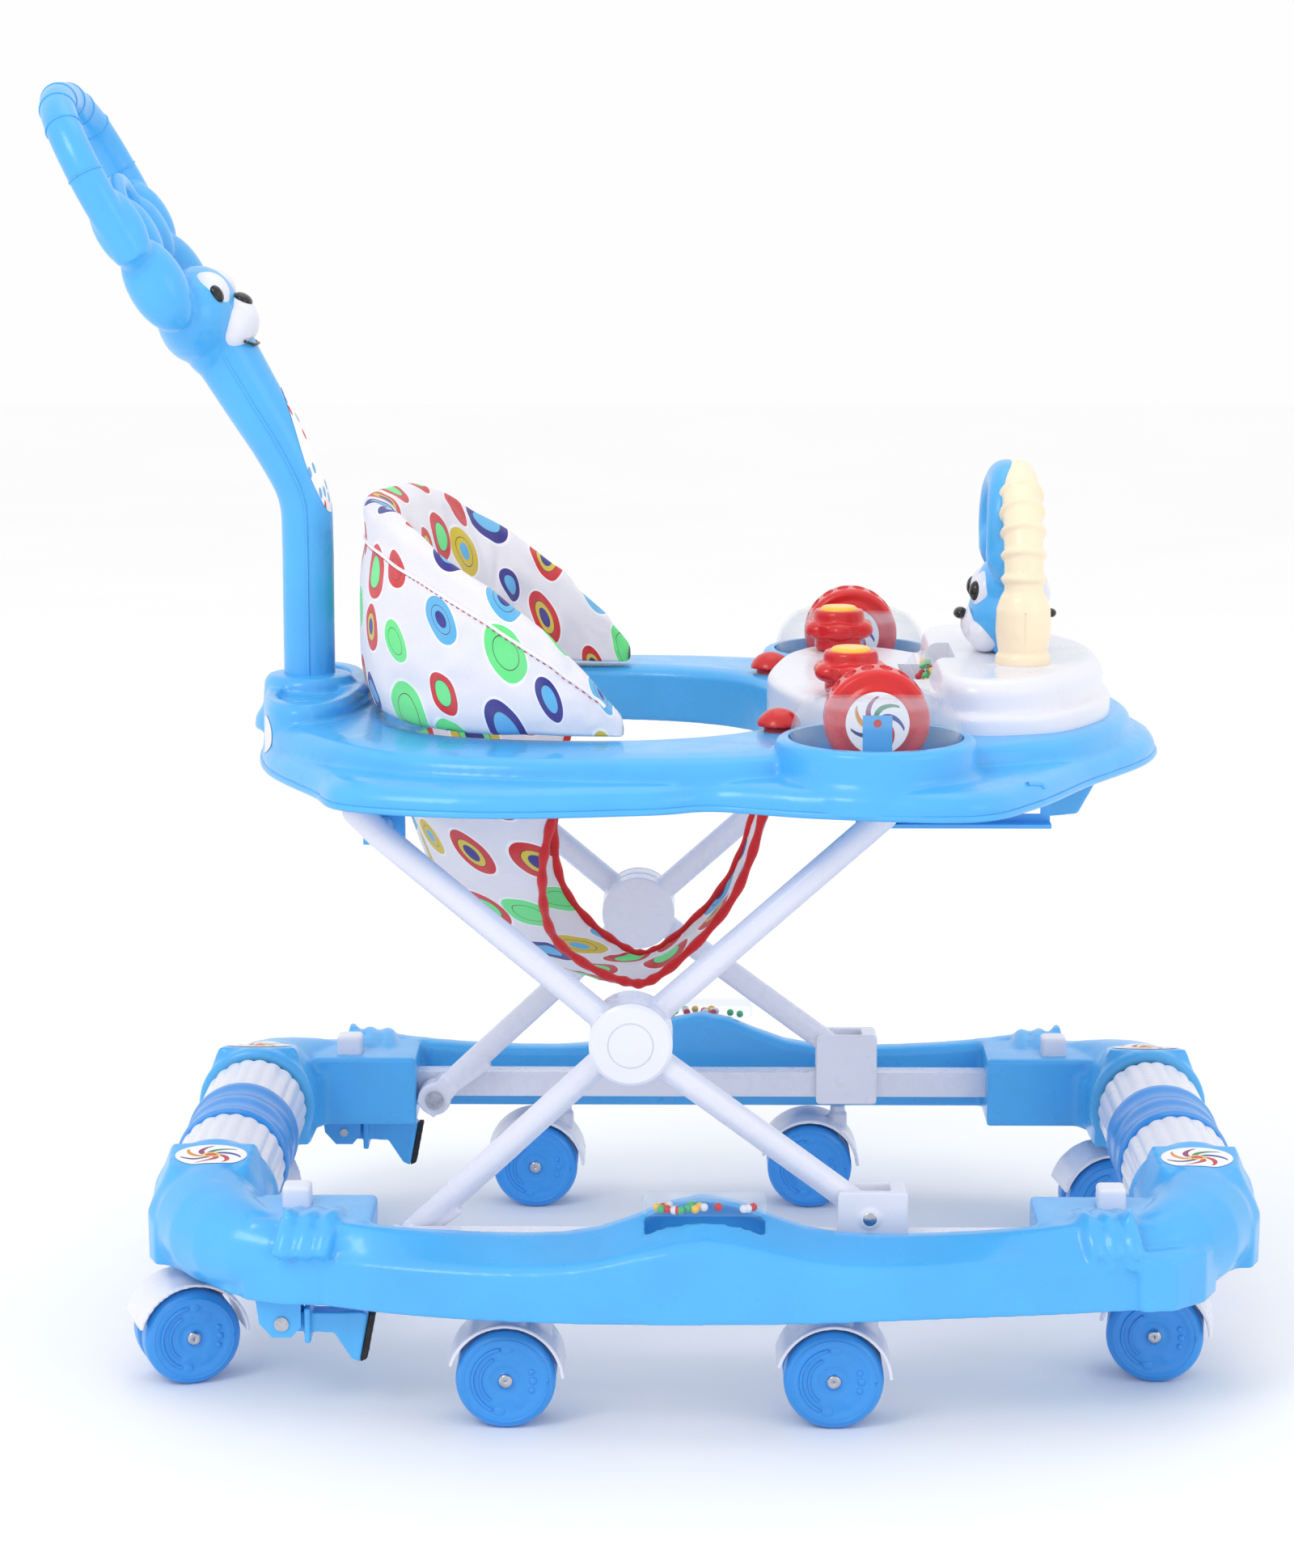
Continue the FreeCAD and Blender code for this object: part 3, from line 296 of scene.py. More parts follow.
def pinwheel_print(name, blades=7):
    """White oval sticker with a curled pinwheel in mixed colours."""
    n = Nodes(name)
    uv = n.add("ShaderNodeTexCoord").outputs["UV"]
    split = n.add("ShaderNodeSeparateXYZ")
    n.link(uv, split.inputs[0])
    x = n.math("SUBTRACT", split.outputs["X"], 0.5)
    y = n.math("SUBTRACT", split.outputs["Y"], 0.5)
    square = n.math("ADD", n.math("MULTIPLY", x, x), n.math("MULTIPLY", y, y))
    reach = n.math("MULTIPLY", n.math("SQRT", square), 2)
    turn = n.math("ADD", n.math("DIVIDE", n.math("ARCTAN2", y, x), math.tau), n.math("MULTIPLY", reach, 0.22))
    place = n.math("FRACT", n.math("MULTIPLY", turn, blades))
    hue = n.math("FRACT", n.math("ADD", turn, 1.0))
    tints = ramp(n, hue, [srgb(196, 40, 38), srgb(40, 70, 160), srgb(46, 140, 92), srgb(150, 60, 120),
                          srgb(228, 150, 40), srgb(60, 50, 120), srgb(190, 60, 40)])
    width = n.math("SUBTRACT", 0.95, n.math("MULTIPLY", reach, 0.95))
    blade = n.math("MULTIPLY", n.math("LESS_THAN", place, width), n.math("LESS_THAN", reach, 0.86))
    print_colour = n.mix(blade, srgb(250, 248, 250), tints)
    print_colour = n.mix(n.math("LESS_THAN", reach, 0.26), print_colour, srgb(250, 200, 70))
    print_colour = n.mix(n.math("LESS_THAN", reach, 0.17), print_colour, srgb(214, 50, 40))
    n.colour(print_colour)
    n.rough(n.noise(80, 3), 0.2, 0.35)
    n.bump(n.noise(300, 2), 0.1, 0.0002)
    return n.material


def confetti_print(name):
    """White sticker with loose dashes of colour, standing for a picture label."""
    n = Nodes(name)
    uv = n.add("ShaderNodeTexCoord").outputs["UV"]
    cells = n.add("ShaderNodeTexVoronoi", Scale=7.0, Randomness=0.8)
    cells.voronoi_dimensions = "2D"
    n.link(uv, cells.inputs["Vector"])
    pick = n.add("ShaderNodeSeparateColor")
    n.link(cells.outputs["Color"], pick.inputs["Color"])
    paper = srgb(250, 249, 250)
    tints = ramp(n, pick.outputs[0], [srgb(220, 70, 70), paper, srgb(120, 180, 220), paper])
    spot = n.math("LESS_THAN", cells.outputs["Distance"], 0.3)
    n.colour(n.mix(spot, paper, tints))
    n.rough(n.noise(80, 3), 0.2, 0.35)
    return n.material


def floor_paper(name):
    n = Nodes(name)
    n.colour(n.mix(n.noise(3, 2), srgb(250, 250, 252), srgb(254, 254, 254)))
    n.set(Roughness=0.85)
    return n.material


M = {
    "blue": plastic("blue_plastic", BLUE, 0.3),
    "wheel_blue": plastic("wheel_blue_plastic", WHEEL_BLUE, 0.36, 0.35),
    "white": plastic("white_plastic", WHITE, 0.3, 0.2, 0.96),
    "cream": plastic("cream_plastic", CREAM, 0.34, 0.25, 0.95),
    "red": plastic("red_plastic", RED, 0.28, 0.2, 0.9),
    "yellow": plastic("yellow_plastic", YELLOW, 0.3, 0.2, 0.94),
    "black": plastic("black_plastic", srgb(18, 18, 20), 0.18, 0.1),
    "green": plastic("green_plastic", srgb(60, 190, 110), 0.28),
    "enamel": enamel("white_enamel", ENAMEL),
    "metal": bright_metal("bright_steel"),
    "rubber": rubber("black_rubber"),
    "clear": clear_plastic("clear_plastic"),
    "cloth": dotted_cloth("dotted_cotton"),
    "binding": binding_cloth("red_binding"),
    "pinwheel": pinwheel_print("pinwheel_print"),
    "confetti": confetti_print("confetti_print"),
    "label": plastic("paper_label", srgb(240, 240, 244), 0.4, 0.05),
    "plain_cloth": plain_cotton("plain_cotton"),
    "floor": floor_paper("pale_paper"),
}


# ---------------------------------------------------------------- mesh helpers

def shade_smooth(piece):
    piece.data.polygons.foreach_set("use_smooth", [True] * len(piece.data.polygons))


def finish_mesh(name, bm, material, body=None):
    mesh = bpy.data.meshes.new(name)
    bm.to_mesh(mesh)
    bm.free()
    piece = bpy.data.objects.new(name, mesh)
    bpy.context.scene.collection.objects.link(piece)
    mesh.materials.append(M[material])
    shade_smooth(piece)
    if body:
        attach(piece, body)
    return piece


def by_angle(piece, degrees):
    """Keeps edges sharper than the angle crisp."""
    piece.data.set_sharp_from_angle(angle=math.radians(degrees))


def applied(piece):
    """Bakes a piece's modifiers into its mesh."""
    graph = bpy.context.evaluated_depsgraph_get()
    mesh = bpy.data.meshes.new_from_object(piece.evaluated_get(graph))
    piece.modifiers.clear()
    old = piece.data
    piece.data = mesh
    bpy.data.meshes.remove(old)
    return piece


def bend(a, b, c, d, f):
    """Catmull-Rom point a share f of the way from b to c."""
    return 0.5 * (2 * b + (c - a) * f + (2 * a - 5 * b + 4 * c - d) * f * f + (3 * b - 3 * c + d - a) * f ** 3)


def smooth_line(points, count):
    """Smooth curve through the points, evenly stepped."""
    pts = [Vector(p) for p in points]
    pts = [2 * pts[0] - pts[1]] + pts + [2 * pts[-1] - pts[-2]]
    spans = len(pts) - 3
    line = []
    for k in range(count):
        t = k / (count - 1) * spans
        i = min(int(t), spans - 1)
        line.append(bend(*pts[i:i + 4], t - i))
    return line


def add_grid(bm, rows, wrap_rows=False, wrap_columns=False):
    """Quads between rows of points; either direction may close on itself."""
    verts = [[bm.verts.new(p) for p in row] for row in rows]
    row_count = len(rows) if wrap_rows else len(rows) - 1
    for i in range(row_count):
        a = verts[i]
        b = verts[(i + 1) % len(rows)]
        columns = len(a) if wrap_columns else len(a) - 1
        for j in range(columns):
            k = (j + 1) % len(a)
            bm.faces.new((a[j], a[k], b[k], b[j]))
    return verts


def add_capped(bm, rows):
    """Closed skin through rings of points, with a flat cap at each end."""
    verts = add_grid(bm, rows, wrap_columns=True)
    bm.faces.new(verts[0])
    bm.faces.new(list(reversed(verts[-1])))


def add_tube(bm, line, radius, sides):
    """Round rod along a line; radius is a number or a function of 0 to 1."""
    rows = []
    up = Vector((0, 0, 1)) if abs((line[1] - line[0]).normalized().z) < 0.9 else Vector((1, 0, 0))
    for k, p in enumerate(line):
        along = (line[min(k + 1, len(line) - 1)] - line[max(k - 1, 0)]).normalized()
        across = along.cross(up).normalized()
        up = across.cross(along).normalized()
        r = radius(k / (len(line) - 1)) if callable(radius) else radius
        angles = [math.tau * s / sides for s in range(sides)]
        rows.append([p + (across * math.cos(a) + up * math.sin(a)) * r for a in angles])
    add_capped(bm, rows)


def add_ball(bm, centre, radii, tilt=0.0, steps=24):
    turn = Matrix.Rotation(math.radians(tilt), 4, "Y")
    size = Matrix.Diagonal((radii[0] * MM, radii[1] * MM, radii[2] * MM, 1))
    matrix = Matrix.Translation(at(*centre)) @ turn @ size
    bmesh.ops.create_uvsphere(bm, u_segments=steps, v_segments=steps // 2 + 2, radius=1, matrix=matrix)


def add_block(bm, x0, x1, y0, y1, z0, z1):
    centre = at((x0 + x1) / 2, (y0 + y1) / 2, (z0 + z1) / 2)
    size = Matrix.Diagonal(((x1 - x0) * MM, (y1 - y0) * MM, (z1 - z0) * MM, 1))
    bmesh.ops.create_cube(bm, size=1, matrix=Matrix.Translation(centre) @ size)


def add_lathe(bm, profile, centre, axis, steps):
    """Form turned about a Y or Z axis, from (radius, height) points in millimetres."""
    rows = []
    cx, cy, cz = centre
    for r, h in profile:
        row = []
        for k in range(steps):
            u, v = r * math.cos(math.tau * k / steps), r * math.sin(math.tau * k / steps)
            row.append(at(cx + u, cy + v, cz + h) if axis == "Z" else at(cx + u, cy + h, cz + v))
        rows.append(row)
    add_capped(bm, rows)


def add_cad(bm, node):
    bm.from_mesh(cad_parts[node].data)


def facing_out(bm):
    bmesh.ops.recalc_face_normals(bm, faces=bm.faces)


def add_bead(bm, centre, radius):
    bmesh.ops.create_uvsphere(bm, u_segments=14, v_segments=10, radius=radius * MM,
                              matrix=Matrix.Translation(centre))


def soften(name, bm, material, body, voxel, passes, stands_for=()):
    """Fuses overlapping closed forms into one skin and rounds its edges as a mould does."""
    facing_out(bm)
    piece = finish_mesh(name, bm, material)
    remesh = piece.modifiers.new("fuse", "REMESH")
    remesh.mode = "VOXEL"
    remesh.voxel_size = voxel * MM
    remesh.use_smooth_shade = True
    relax = piece.modifiers.new("round", "SMOOTH")
    relax.factor = 0.5
    relax.iterations = passes
    applied(piece)
    piece.data.materials.clear()
    piece.data.materials.append(M[material])
    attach(piece, body)
    if stands_for:
        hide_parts(*stands_for)
    return piece


def moulded(node, name, material, body, voxel, passes):
    """One CAD node with its edges rounded as a mould does."""
    bm = bmesh.new()
    add_cad(bm, node)
    soften(name, bm, material, body, voxel, passes, [node])


# ---------------------------------------------------------------- CAD nodes that stay

KEPT = {
    "caster_fork": "white", "caster_wheels": "wheel_blue", "lock_button": "white", "hub_caps": "white",
    "rail_sliders": "white", "leg_frame": "enamel", "cross_tubes": "enamel", "steel_rails": "enamel",
    "leg_pivot_pins": "metal", "stopper_pins": "metal", "rail_windows": "clear", "dome_covers": "clear",
    "bead_roller": "clear", "toy_arch": "cream", "gear_wheel": "red", "flower_knob": "red",
    "red_button": "red", "knob_button": "yellow", "stopper_pad": "rubber", "console": "white",
}


def paint_kept_nodes():
    for name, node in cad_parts.items():
        chosen = [m for prefix, m in KEPT.items() if name.startswith(prefix)]
        node.data.materials.clear()
        node.data.materials.append(M[chosen[0] if chosen else "blue"])


# ---------------------------------------------------------------- stage

def build_stage():
    bm = bmesh.new()
    rows = []
    for k in range(41):
        y = -6 + k * 0.3
        z = 0.0 if y < 5 else 0.12 * (y - 5) ** 2
        rows.append([Vector((x, y, z)) for x in (-12, -3, 0, 3, 12)])
    add_grid(bm, rows)
    floor = finish_mesh("floor", bm, "floor")


def area_light(name, place, aim, size, power):
    data = bpy.data.lights.new(name, "AREA")
    data.size = size
    data.energy = power
    lamp = bpy.data.objects.new(name, data)
    bpy.context.scene.collection.objects.link(lamp)
    lamp.location = place
    lamp.rotation_euler = (Vector(aim) - Vector(place)).to_track_quat("-Z", "Y").to_euler()


def build_lights():
    world = bpy.data.worlds.new("studio")
    bpy.context.scene.world = world
    world.use_nodes = True
    sky = world.node_tree.nodes["Background"]
    sky.inputs["Color"].default_value = (1, 1, 1, 1)
    sky.inputs["Strength"].default_value = 0.99
    area_light("key", (-1.6, -2.2, 2.6), (0, 0, 0.3), 1.1, 22)
    area_light("fill", (2.4, -1.8, 1.6), (0, 0, 0.3), 1.5, 6)
    area_light("top", (0.2, 0.6, 2.8), (0, 0, 0.2), 1.6, 5)
    bpy.context.scene.view_settings.view_transform = "Standard"


def build_camera():
    data = bpy.data.cameras.new("view")
    data.sensor_width = 36.0
    data.lens = 88.4
    data.clip_end = 50
    camera = bpy.data.objects.new("view", data)
    bpy.context.scene.collection.objects.link(camera)
    camera.location = at(-12, -2522, 816)
    camera.rotation_euler = (math.radians(90 - 10.3), 0, math.radians(0.58))
    bpy.context.scene.camera = camera


# ---------------------------------------------------------------- more shape helpers

def add_hull(bm, points):
    """Convex form around points given in millimetres."""
    verts = [bm.verts.new(at(*p)) for p in points]
    made = bmesh.ops.convex_hull(bm, input=verts)
    spare = [v for v in made["geom_interior"] + made["geom_unused"] if isinstance(v, bmesh.types.BMVert)]
    bmesh.ops.delete(bm, geom=list(set(spare)), context="VERTS")


def smooth_ring(points, count):
    """Closed smooth curve through plan points, in millimetres."""
    n = len(points)
    ring = []
    for k in range(count):
        t = k / count * n
        i = int(t)
        p = bend(*[Vector((*points[(i + j - 1) % n], 0)) for j in range(4)], t - i)
        ring.append((p.x, p.y))
    return ring


def mirror_ring(half):
    """Full outline from its +Y half, front and rear points on the middle line."""
    return half + [(x, -y) for x, y in reversed(half[1:-1])]


def inset_ring(ring, inset, z):
    """Outline drawn in towards its middle, at one height."""
    mx = sum(x for x, y in ring) / len(ring)
    row = []
    for x, y in ring:
        reach = math.hypot(x - mx, y)
        keep = (reach - inset) / reach
        row.append(at(mx + (x - mx) * keep, y * keep, z))
    return row


def add_rim(bm, outline, levels, count):
    """Upright band round an outline. Levels are (z, inset) pairs taken in order round its section."""
    ring = smooth_ring(outline, count)
    add_grid(bm, [inset_ring(ring, inset, z) for z, inset in levels], wrap_rows=True, wrap_columns=True)


def tube_at(bm, points, radius, count, sides):
    """Round rod of count steps through points in millimetres."""
    line = smooth_line([at(*p) for p in points], count)
    add_tube(bm, line, radius if callable(radius) else radius * MM, sides)


def skin_of(piece):
    bm = bmesh.new()
    bm.from_mesh(piece.data)
    tree = BVHTree.FromBMesh(bm)
    bm.free()
    return tree


def lay_on(tree, point, aim, lift):
    """Where a line from the point along aim meets the surface, raised a little."""
    hit = tree.ray_cast(point, aim)[0]
    return None if hit is None else hit - aim * lift * MM


LABEL_REACH = 60 * MM
LABEL_LIFT = 0.35


def sticker(name, target, centre, facing, half_wide, half_high, material, body, rings=8, steps=48):
    """Oval label laid on the target's surface, looking back along its facing direction."""
    tree = skin_of(target)
    n = Vector(facing).normalized()
    side = Vector((0, 0, 1)).cross(n)
    side = side.normalized() if side.length > 0.3 else Vector((1, 0, 0))
    if abs(n.z) > 0.8:
        side = Vector((1, 0, 0))
    up = n.cross(side).normalized()
    side = up.cross(n).normalized()
    bm = bmesh.new()
    uv = bm.loops.layers.uv.new("label")
    grid = []
    places = {}
    for i in range(rings + 1):
        row = []
        for k in range(steps):
            a = math.tau * k / steps
            u = math.cos(a) * i / rings
            v = math.sin(a) * i / rings
            flat = at(*centre) + side * u * half_wide * MM + up * v * half_high * MM
            spot = lay_on(tree, flat + n * LABEL_REACH, -n, LABEL_LIFT) or flat
            if i == 0 and k:
                row.append(row[0])
                continue
            vert = bm.verts.new(spot)
            places[vert] = (0.5 + u / 2, 0.5 + v / 2)
            row.append(vert)
        grid.append(row)
    for i in range(rings):
        for k in range(steps):
            a, b = grid[i][k], grid[i][(k + 1) % steps]
            c, d = grid[i + 1][(k + 1) % steps], grid[i + 1][k]
            face = bm.faces.new((a, d, c)) if i == 0 else bm.faces.new((a, d, c, b))
            for loop in face.loops:
                loop[uv].uv = places[loop.vert]
    return finish_mesh(name, bm, material, body)


# ---------------------------------------------------------------- wheeled base

RIB_X = {"front": (238, 250, 262), "rear": (-257, -245, -233)}
PAD_PLAN = {
    "front": [(267, 258), (289, 255), (310, 236), (320, 213), (268, 246), (300, 212)],
    "rear": [(-237, 249), (-262, 247), (-284, 238), (-292, 224), (-240, 226), (-276, 214)],
}


def add_elbow(bm, sx, sy):
    """Round flange and hooded block where the roller axle enters the corner."""
    x = sx * ROLLER_X
    flange = [(36, 114), (40, 115.5), (41, 118), (41, 122), (39, 125), (34, 126)]
    add_lathe(bm, [(r, sy * y) for r, y in flange], (x, 0, ROLLER_Z), "Y", 64)
    low = 77
    add_hull(bm, [(x + dx, sy * y, z) for dx, y, z in (
        (-27, 124, 145), (27, 124, 145), (-25, 157, 139), (25, 157, 139), (-17, 168, 134), (17, 168, 134),
        (-38, 124, 116), (38, 124, 116), (-39, 160, 110), (39, 160, 110), (-33, 176, 104), (33, 176, 104),
        (-38, 124, low), (38, 124, low), (-39, 158, low), (39, 158, low), (-33, 172, low), (33, 172, low))])


def base_side_looks(side, sy):
    bm = bmesh.new()
    add_cad(bm, "base_side_" + side)
    for end, sx in ENDS.items():
        add_elbow(bm, sx, sy)
        for x in RIB_X[end]:
            tube_at(bm, [(x - 5 * sx, sy * 206, 121), (x - 4 * sx, sy * 222, 125), (x - 2 * sx, sy * 236, 126),
                         (x, sy * 247, 119), (x + 3 * sx, sy * 254, 108)], 6.2, 24, 14)
        top = 110 if sx > 0 else 106
        plan = PAD_PLAN[end]
        add_hull(bm, [(px, sy * py, z) for px, py in plan for z in (75.6, top - 3)]
                 + [(px * 0.995, sy * py * 0.985, top) for px, py in plan])
        add_hull(bm, [(sx * px, sy * py, z) for px, py, z in (
            (207, 173, 76), (276, 173, 76), (207, 173, 112), (222, 176, 124), (278, 176, 124),
            (207, 226, 112), (222, 226, 125), (280, 226, 125), (207, 226, 76), (276, 226, 76))])
    return soften("base_looks_" + side, bm, "blue", "base", 1.9, 5, ["base_side_" + side])


def roller_looks(end, sx):
    """Drum with raised rims between two fluted sleeves, and a dark ring of painted shade in the gap at each sleeve's
    outer end.
    """
    node = end + "_roller"
    x = sx * ROLLER_X
    drum = bmesh.new()
    half = [(30, -37), (36.5, -37), (38, -34), (38, -28), (36.6, -25), (36.2, -8), (37.4, -5)]
    add_lathe(drum, half + [(r, -y) for r, y in reversed(half)], (x, 0, ROLLER_Z), "Y", 96)
    body = finish_mesh("drum_" + end, drum, "wheel_blue", node)
    sleeves = bmesh.new()
    flutes = 22
    for sy in SIDES.values():
        rows = []
        for y, shrink in ((38, 6), (38, 1.5), (40, 0), (72, 0), (104, 0), (106, 1.5), (106, 6)):
            row = []
            for k in range(flutes * 8):
                a = math.tau * k / (flutes * 8)
                r = 35.2 + 1.1 * abs(math.cos(a * flutes / 2)) - shrink
                row.append(at(x + r * math.cos(a), sy * y, ROLLER_Z + r * math.sin(a)))
            rows.append(row)
        add_capped(sleeves, rows)
    facing_out(sleeves)
    outer = finish_mesh("sleeves_" + end, sleeves, "white", node)
    # Painted shade: a dark rubber ring fills the gap between each sleeve and its corner housing, where shade falls.
    gap = bmesh.new()
    for sy in SIDES.values():
        add_lathe(gap, [(20, sy * 105), (33.5, sy * 105), (33.5, sy * 113.2), (20, sy * 113.2)],
                  (x, 0, ROLLER_Z), "Y", 64)
    gap_shade_ring = finish_mesh("gap_shade_" + end, gap, "rubber", node)
    for piece in (body, outer, gap_shade_ring):
        by_angle(piece, 35)
    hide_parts(node)


def caster_looks():
    for name in [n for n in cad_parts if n.startswith("caster_wheels_")]:
        place = name[len("caster_wheels_"):]
        low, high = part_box(name)
        middle = (low + high) / 2
        moulded(name, "wheels_" + place + "_looks", "wheel_blue", "wheels_" + place, 1.1, 4)
        moulded("caster_fork_" + place, "hood_" + place, "white", "caster_" + place, 1.1, 3)
        wheel_trim(place, middle)


CASTER_TURN = {"front_left": 8, "front_right": -8, "rear_left": -20, "rear_right": 20}


def wheel_trim(place, middle):
    """Steel axle ends and the moulded swirl on both faces of a caster."""
    turn = Matrix.Rotation(math.radians(CASTER_TURN.get(place, 0)), 4, "Z")

    def on_face(reach, angle, out):
        return middle + turn @ Vector((reach * math.cos(angle), out, reach * math.sin(angle))) * MM

    heads = bmesh.new()
    swirl = bmesh.new()
    dome = [(0.2, 21.9), (3.2, 21.8), (4.4, 21.2), (4.6, 20.4), (4.6, 18), (0.2, 18)]
    for side in (-1, 1):
        rows = [[on_face(r, math.tau * k / 24, side * h) for k in range(24)] for r, h in dome]
        add_grid(heads, rows, wrap_rows=True, wrap_columns=True)
        for reach, start, stop, thick in ((20.5, 100, 245, 1.1), (15.5, 118, 232, 0.9), (26, 0, 360, 0.9)):
            line = []
            for k in range(41):
                a = math.radians(start + (stop - start) * k / 40)
                line.append(on_face(reach, a if side < 0 else math.pi - a, side * 20.4))
            add_tube(swirl, line, thick * MM, 8)
        for angle, r in ((88, 4.2), (258, 4.2), (20, 2.2), (0, 2.6), (-20, 2.2)):
            a = math.radians(angle)
            spot = on_face(20.5 if r > 4 else 17, a if side < 0 else math.pi - a, side * 19.6)
            dimple = Matrix.Translation(spot) @ turn @ Matrix.Diagonal((r * MM, 1.6 * MM, r * MM, 1))
            bmesh.ops.create_uvsphere(swirl, u_segments=16, v_segments=10, radius=1, matrix=dimple)
    facing_out(heads)
    finish_mesh("axle_heads_" + place, heads, "metal", "wheels_" + place)
    finish_mesh("wheel_swirl_" + place, swirl, "wheel_blue", "wheels_" + place)


def stopper_looks(side, sy):
    """Brake arm with a collar and a flared foot, and its ribbed rubber pad."""
    y = sy * STOPPER_Y
    bm = bmesh.new()
    add_cad(bm, "stopper_arm_" + side)
    foot = ((-226, 5, 65), (-226, 5, 52), (-212, 9, 66), (-209, 9, 65), (-214, 8, 34), (-218, 6, 36))
    add_hull(bm, [(x, y + w, z) for x, half, z in foot for w in (-half, half)])
    add_block(bm, -248, -244, y - 11, y + 11, 46, 69)
    soften("stopper_looks_" + side, bm, "blue", "stopper_" + side, 0.9, 4, ["stopper_arm_" + side])
    bm = bmesh.new()
    add_cad(bm, "stopper_pad_" + side)
    for k in range(5):
        z = 38 + 6 * k
        x = -205 - (62 - z) * 0.19
        tube_at(bm, [(x - 0.4, y - 6, z), (x, y, z + 1.5), (x - 0.4, y + 6, z)], 1.3, 8, 8)
    soften("pad_looks_" + side, bm, "rubber", "stopper_" + side, 0.8, 2, ["stopper_pad_" + side])


def window_beads(side, sy):
    """Loose coloured beads under the clear bridge of a side rail."""
    random.seed(7 if sy > 0 else 8)
    for colour in ("red", "yellow", "green", "white"):
        bm = bmesh.new()
        for _ in range(5):
            x = random.uniform(-30, 30)
            y = sy * random.uniform(247, 260)
            add_bead(bm, at(x, y, 141.5 - abs(x) * 0.05), 2.6)
        finish_mesh("rail_beads_" + colour + "_" + side, bm, colour, "base")


def build_base():
    for side, sy in SIDES.items():
        shell = base_side_looks(side, sy)
        for end, sx in ENDS.items():
            sticker("corner_sticker_" + end + "_" + side, shell, (sx * ROLLER_X, sy * 143, 141), (0, sy * 0.18, 1),
                    23, 15, "pinwheel", "base")
        stopper_looks(side, sy)
        window_beads(side, sy)
    for end, sx in ENDS.items():
        roller_looks(end, sx)
    caster_looks()
    for name in [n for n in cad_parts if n.startswith("lock_button_")]:
        moulded(name, name + "_looks", "white", name, 0.9, 8)


# ---------------------------------------------------------------- legs

def leg_looks():
    """Rounded enamelled legs with flattened white feet, and the sliders on the steel rails."""
    for name, body in (("leg_frame_a", "leg_a"), ("leg_frame_b", "leg_b")):
        bm = bmesh.new()
        add_cad(bm, name)
        if body == "leg_b":
            foot = ((-206, 92), (-194, 80), (-176, 99), (-188, 111))
            ankle = ((-186, 92), (-180, 109), (-160, 126), (-152, 117))
            for sy in SIDES.values():
                add_hull(bm, [(x, sy * y, z) for x, z in foot for y in (173, 191)])
                add_hull(bm, [(x, sy * y, z) for x, z in ankle for y in (175, 189)])
        soften(name + "_looks", bm, "enamel", body, 1.3, 2, [name])
    moulded("rail_sliders", "rail_slider_looks", "white", "rail_slider", 1.1, 3)
    bolts = bmesh.new()
    head = [(0.2, 216.6), (3.5, 216.4), (5, 215.6), (5.4, 214), (0.2, 214)]
    for sy in SIDES.values():
        add_lathe(bolts, [(r, sy * y) for r, y in head], (103.2, 0, 122), "Y", 32)
    facing_out(bolts)
    finish_mesh("slider_rivets", bolts, "metal", "rail_slider")
    bolts = bmesh.new()
    head = [(0.2, 1.4), (4, 1.2), (6, 0.4), (6, -1), (0.2, -1)]
    for sy in SIDES.values():
        for face, out in ((191.2, 1), (172.8, -1)):
            add_lathe(bolts, [(r, sy * (face + out * y)) for r, y in head], (-193, 0, 94), "Y", 32)
    facing_out(bolts)
    finish_mesh("foot_rivets", bolts, "metal", "leg_b")


# ---------------------------------------------------------------- tray

FLANGE_PLAN = [(-290, 0), (-280, 96), (-242, 181), (-217, 229), (-132, 252), (-35, 241), (6, 228), (67, 250),
               (158, 262), (201, 217), (241, 140), (286, 60), (298, 0)]
BODY_PLAN = [(-287, 0), (-282, 70), (-262, 120), (-226, 172), (-180, 206), (-120, 222), (-50, 225), (6, 220),
             (60, 206), (120, 196), (165, 176), (205, 158), (240, 124), (270, 66), (282, 0)]
HOLE_PLAN = [(60, 0), (52, 60), (25, 115), (-30, 146), (-100, 150), (-165, 130), (-200, 80), (-208, 0)]
REAR_PLAN = [(-289, 0), (-287, 45), (-279, 84), (-262, 100), (-243, 92), (-228, 60), (-221, 0)]
HOLE_MIDDLE = -70


def turned_ring(half, count=240):
    """Outline sampled at even angles about the middle of the seat hole."""
    dense = smooth_ring(mirror_ring(half), 1440)
    marks = sorted((math.atan2(y, x - HOLE_MIDDLE), math.hypot(x - HOLE_MIDDLE, y)) for x, y in dense)
    ring = []
    k = 0
    for step in range(count):
        a = -math.pi + math.tau * (step + 0.5) / count
        while k < len(marks) - 1 and marks[k][0] < a:
            k += 1
        ring.append((a, marks[k][1]))
    return ring


def add_turned_band(bm, levels):
    """Closed band about the seat hole. Levels are (outline, inset, z) taken in order round the section."""
    rows = []
    for ring, inset, z in levels:
        rows.append([at(HOLE_MIDDLE + (r - inset) * math.cos(a), (r - inset) * math.sin(a), z)
                     for a, r in ring])
    add_grid(bm, rows, wrap_rows=True, wrap_columns=True)


def carve(piece, build):
    """Cuts closed forms out of a piece."""
    bm = bmesh.new()
    build(bm)
    facing_out(bm)
    cutter = finish_mesh(piece.name + "_cutter", bm, "blue")
    cut = piece.modifiers.new("cut", "BOOLEAN")
    cut.operation = "DIFFERENCE"
    cut.object = cutter
    cut.solver = "EXACT"
    applied(piece)
    bpy.data.objects.remove(cutter)
    shade_smooth(piece)
    by_angle(piece, 50)


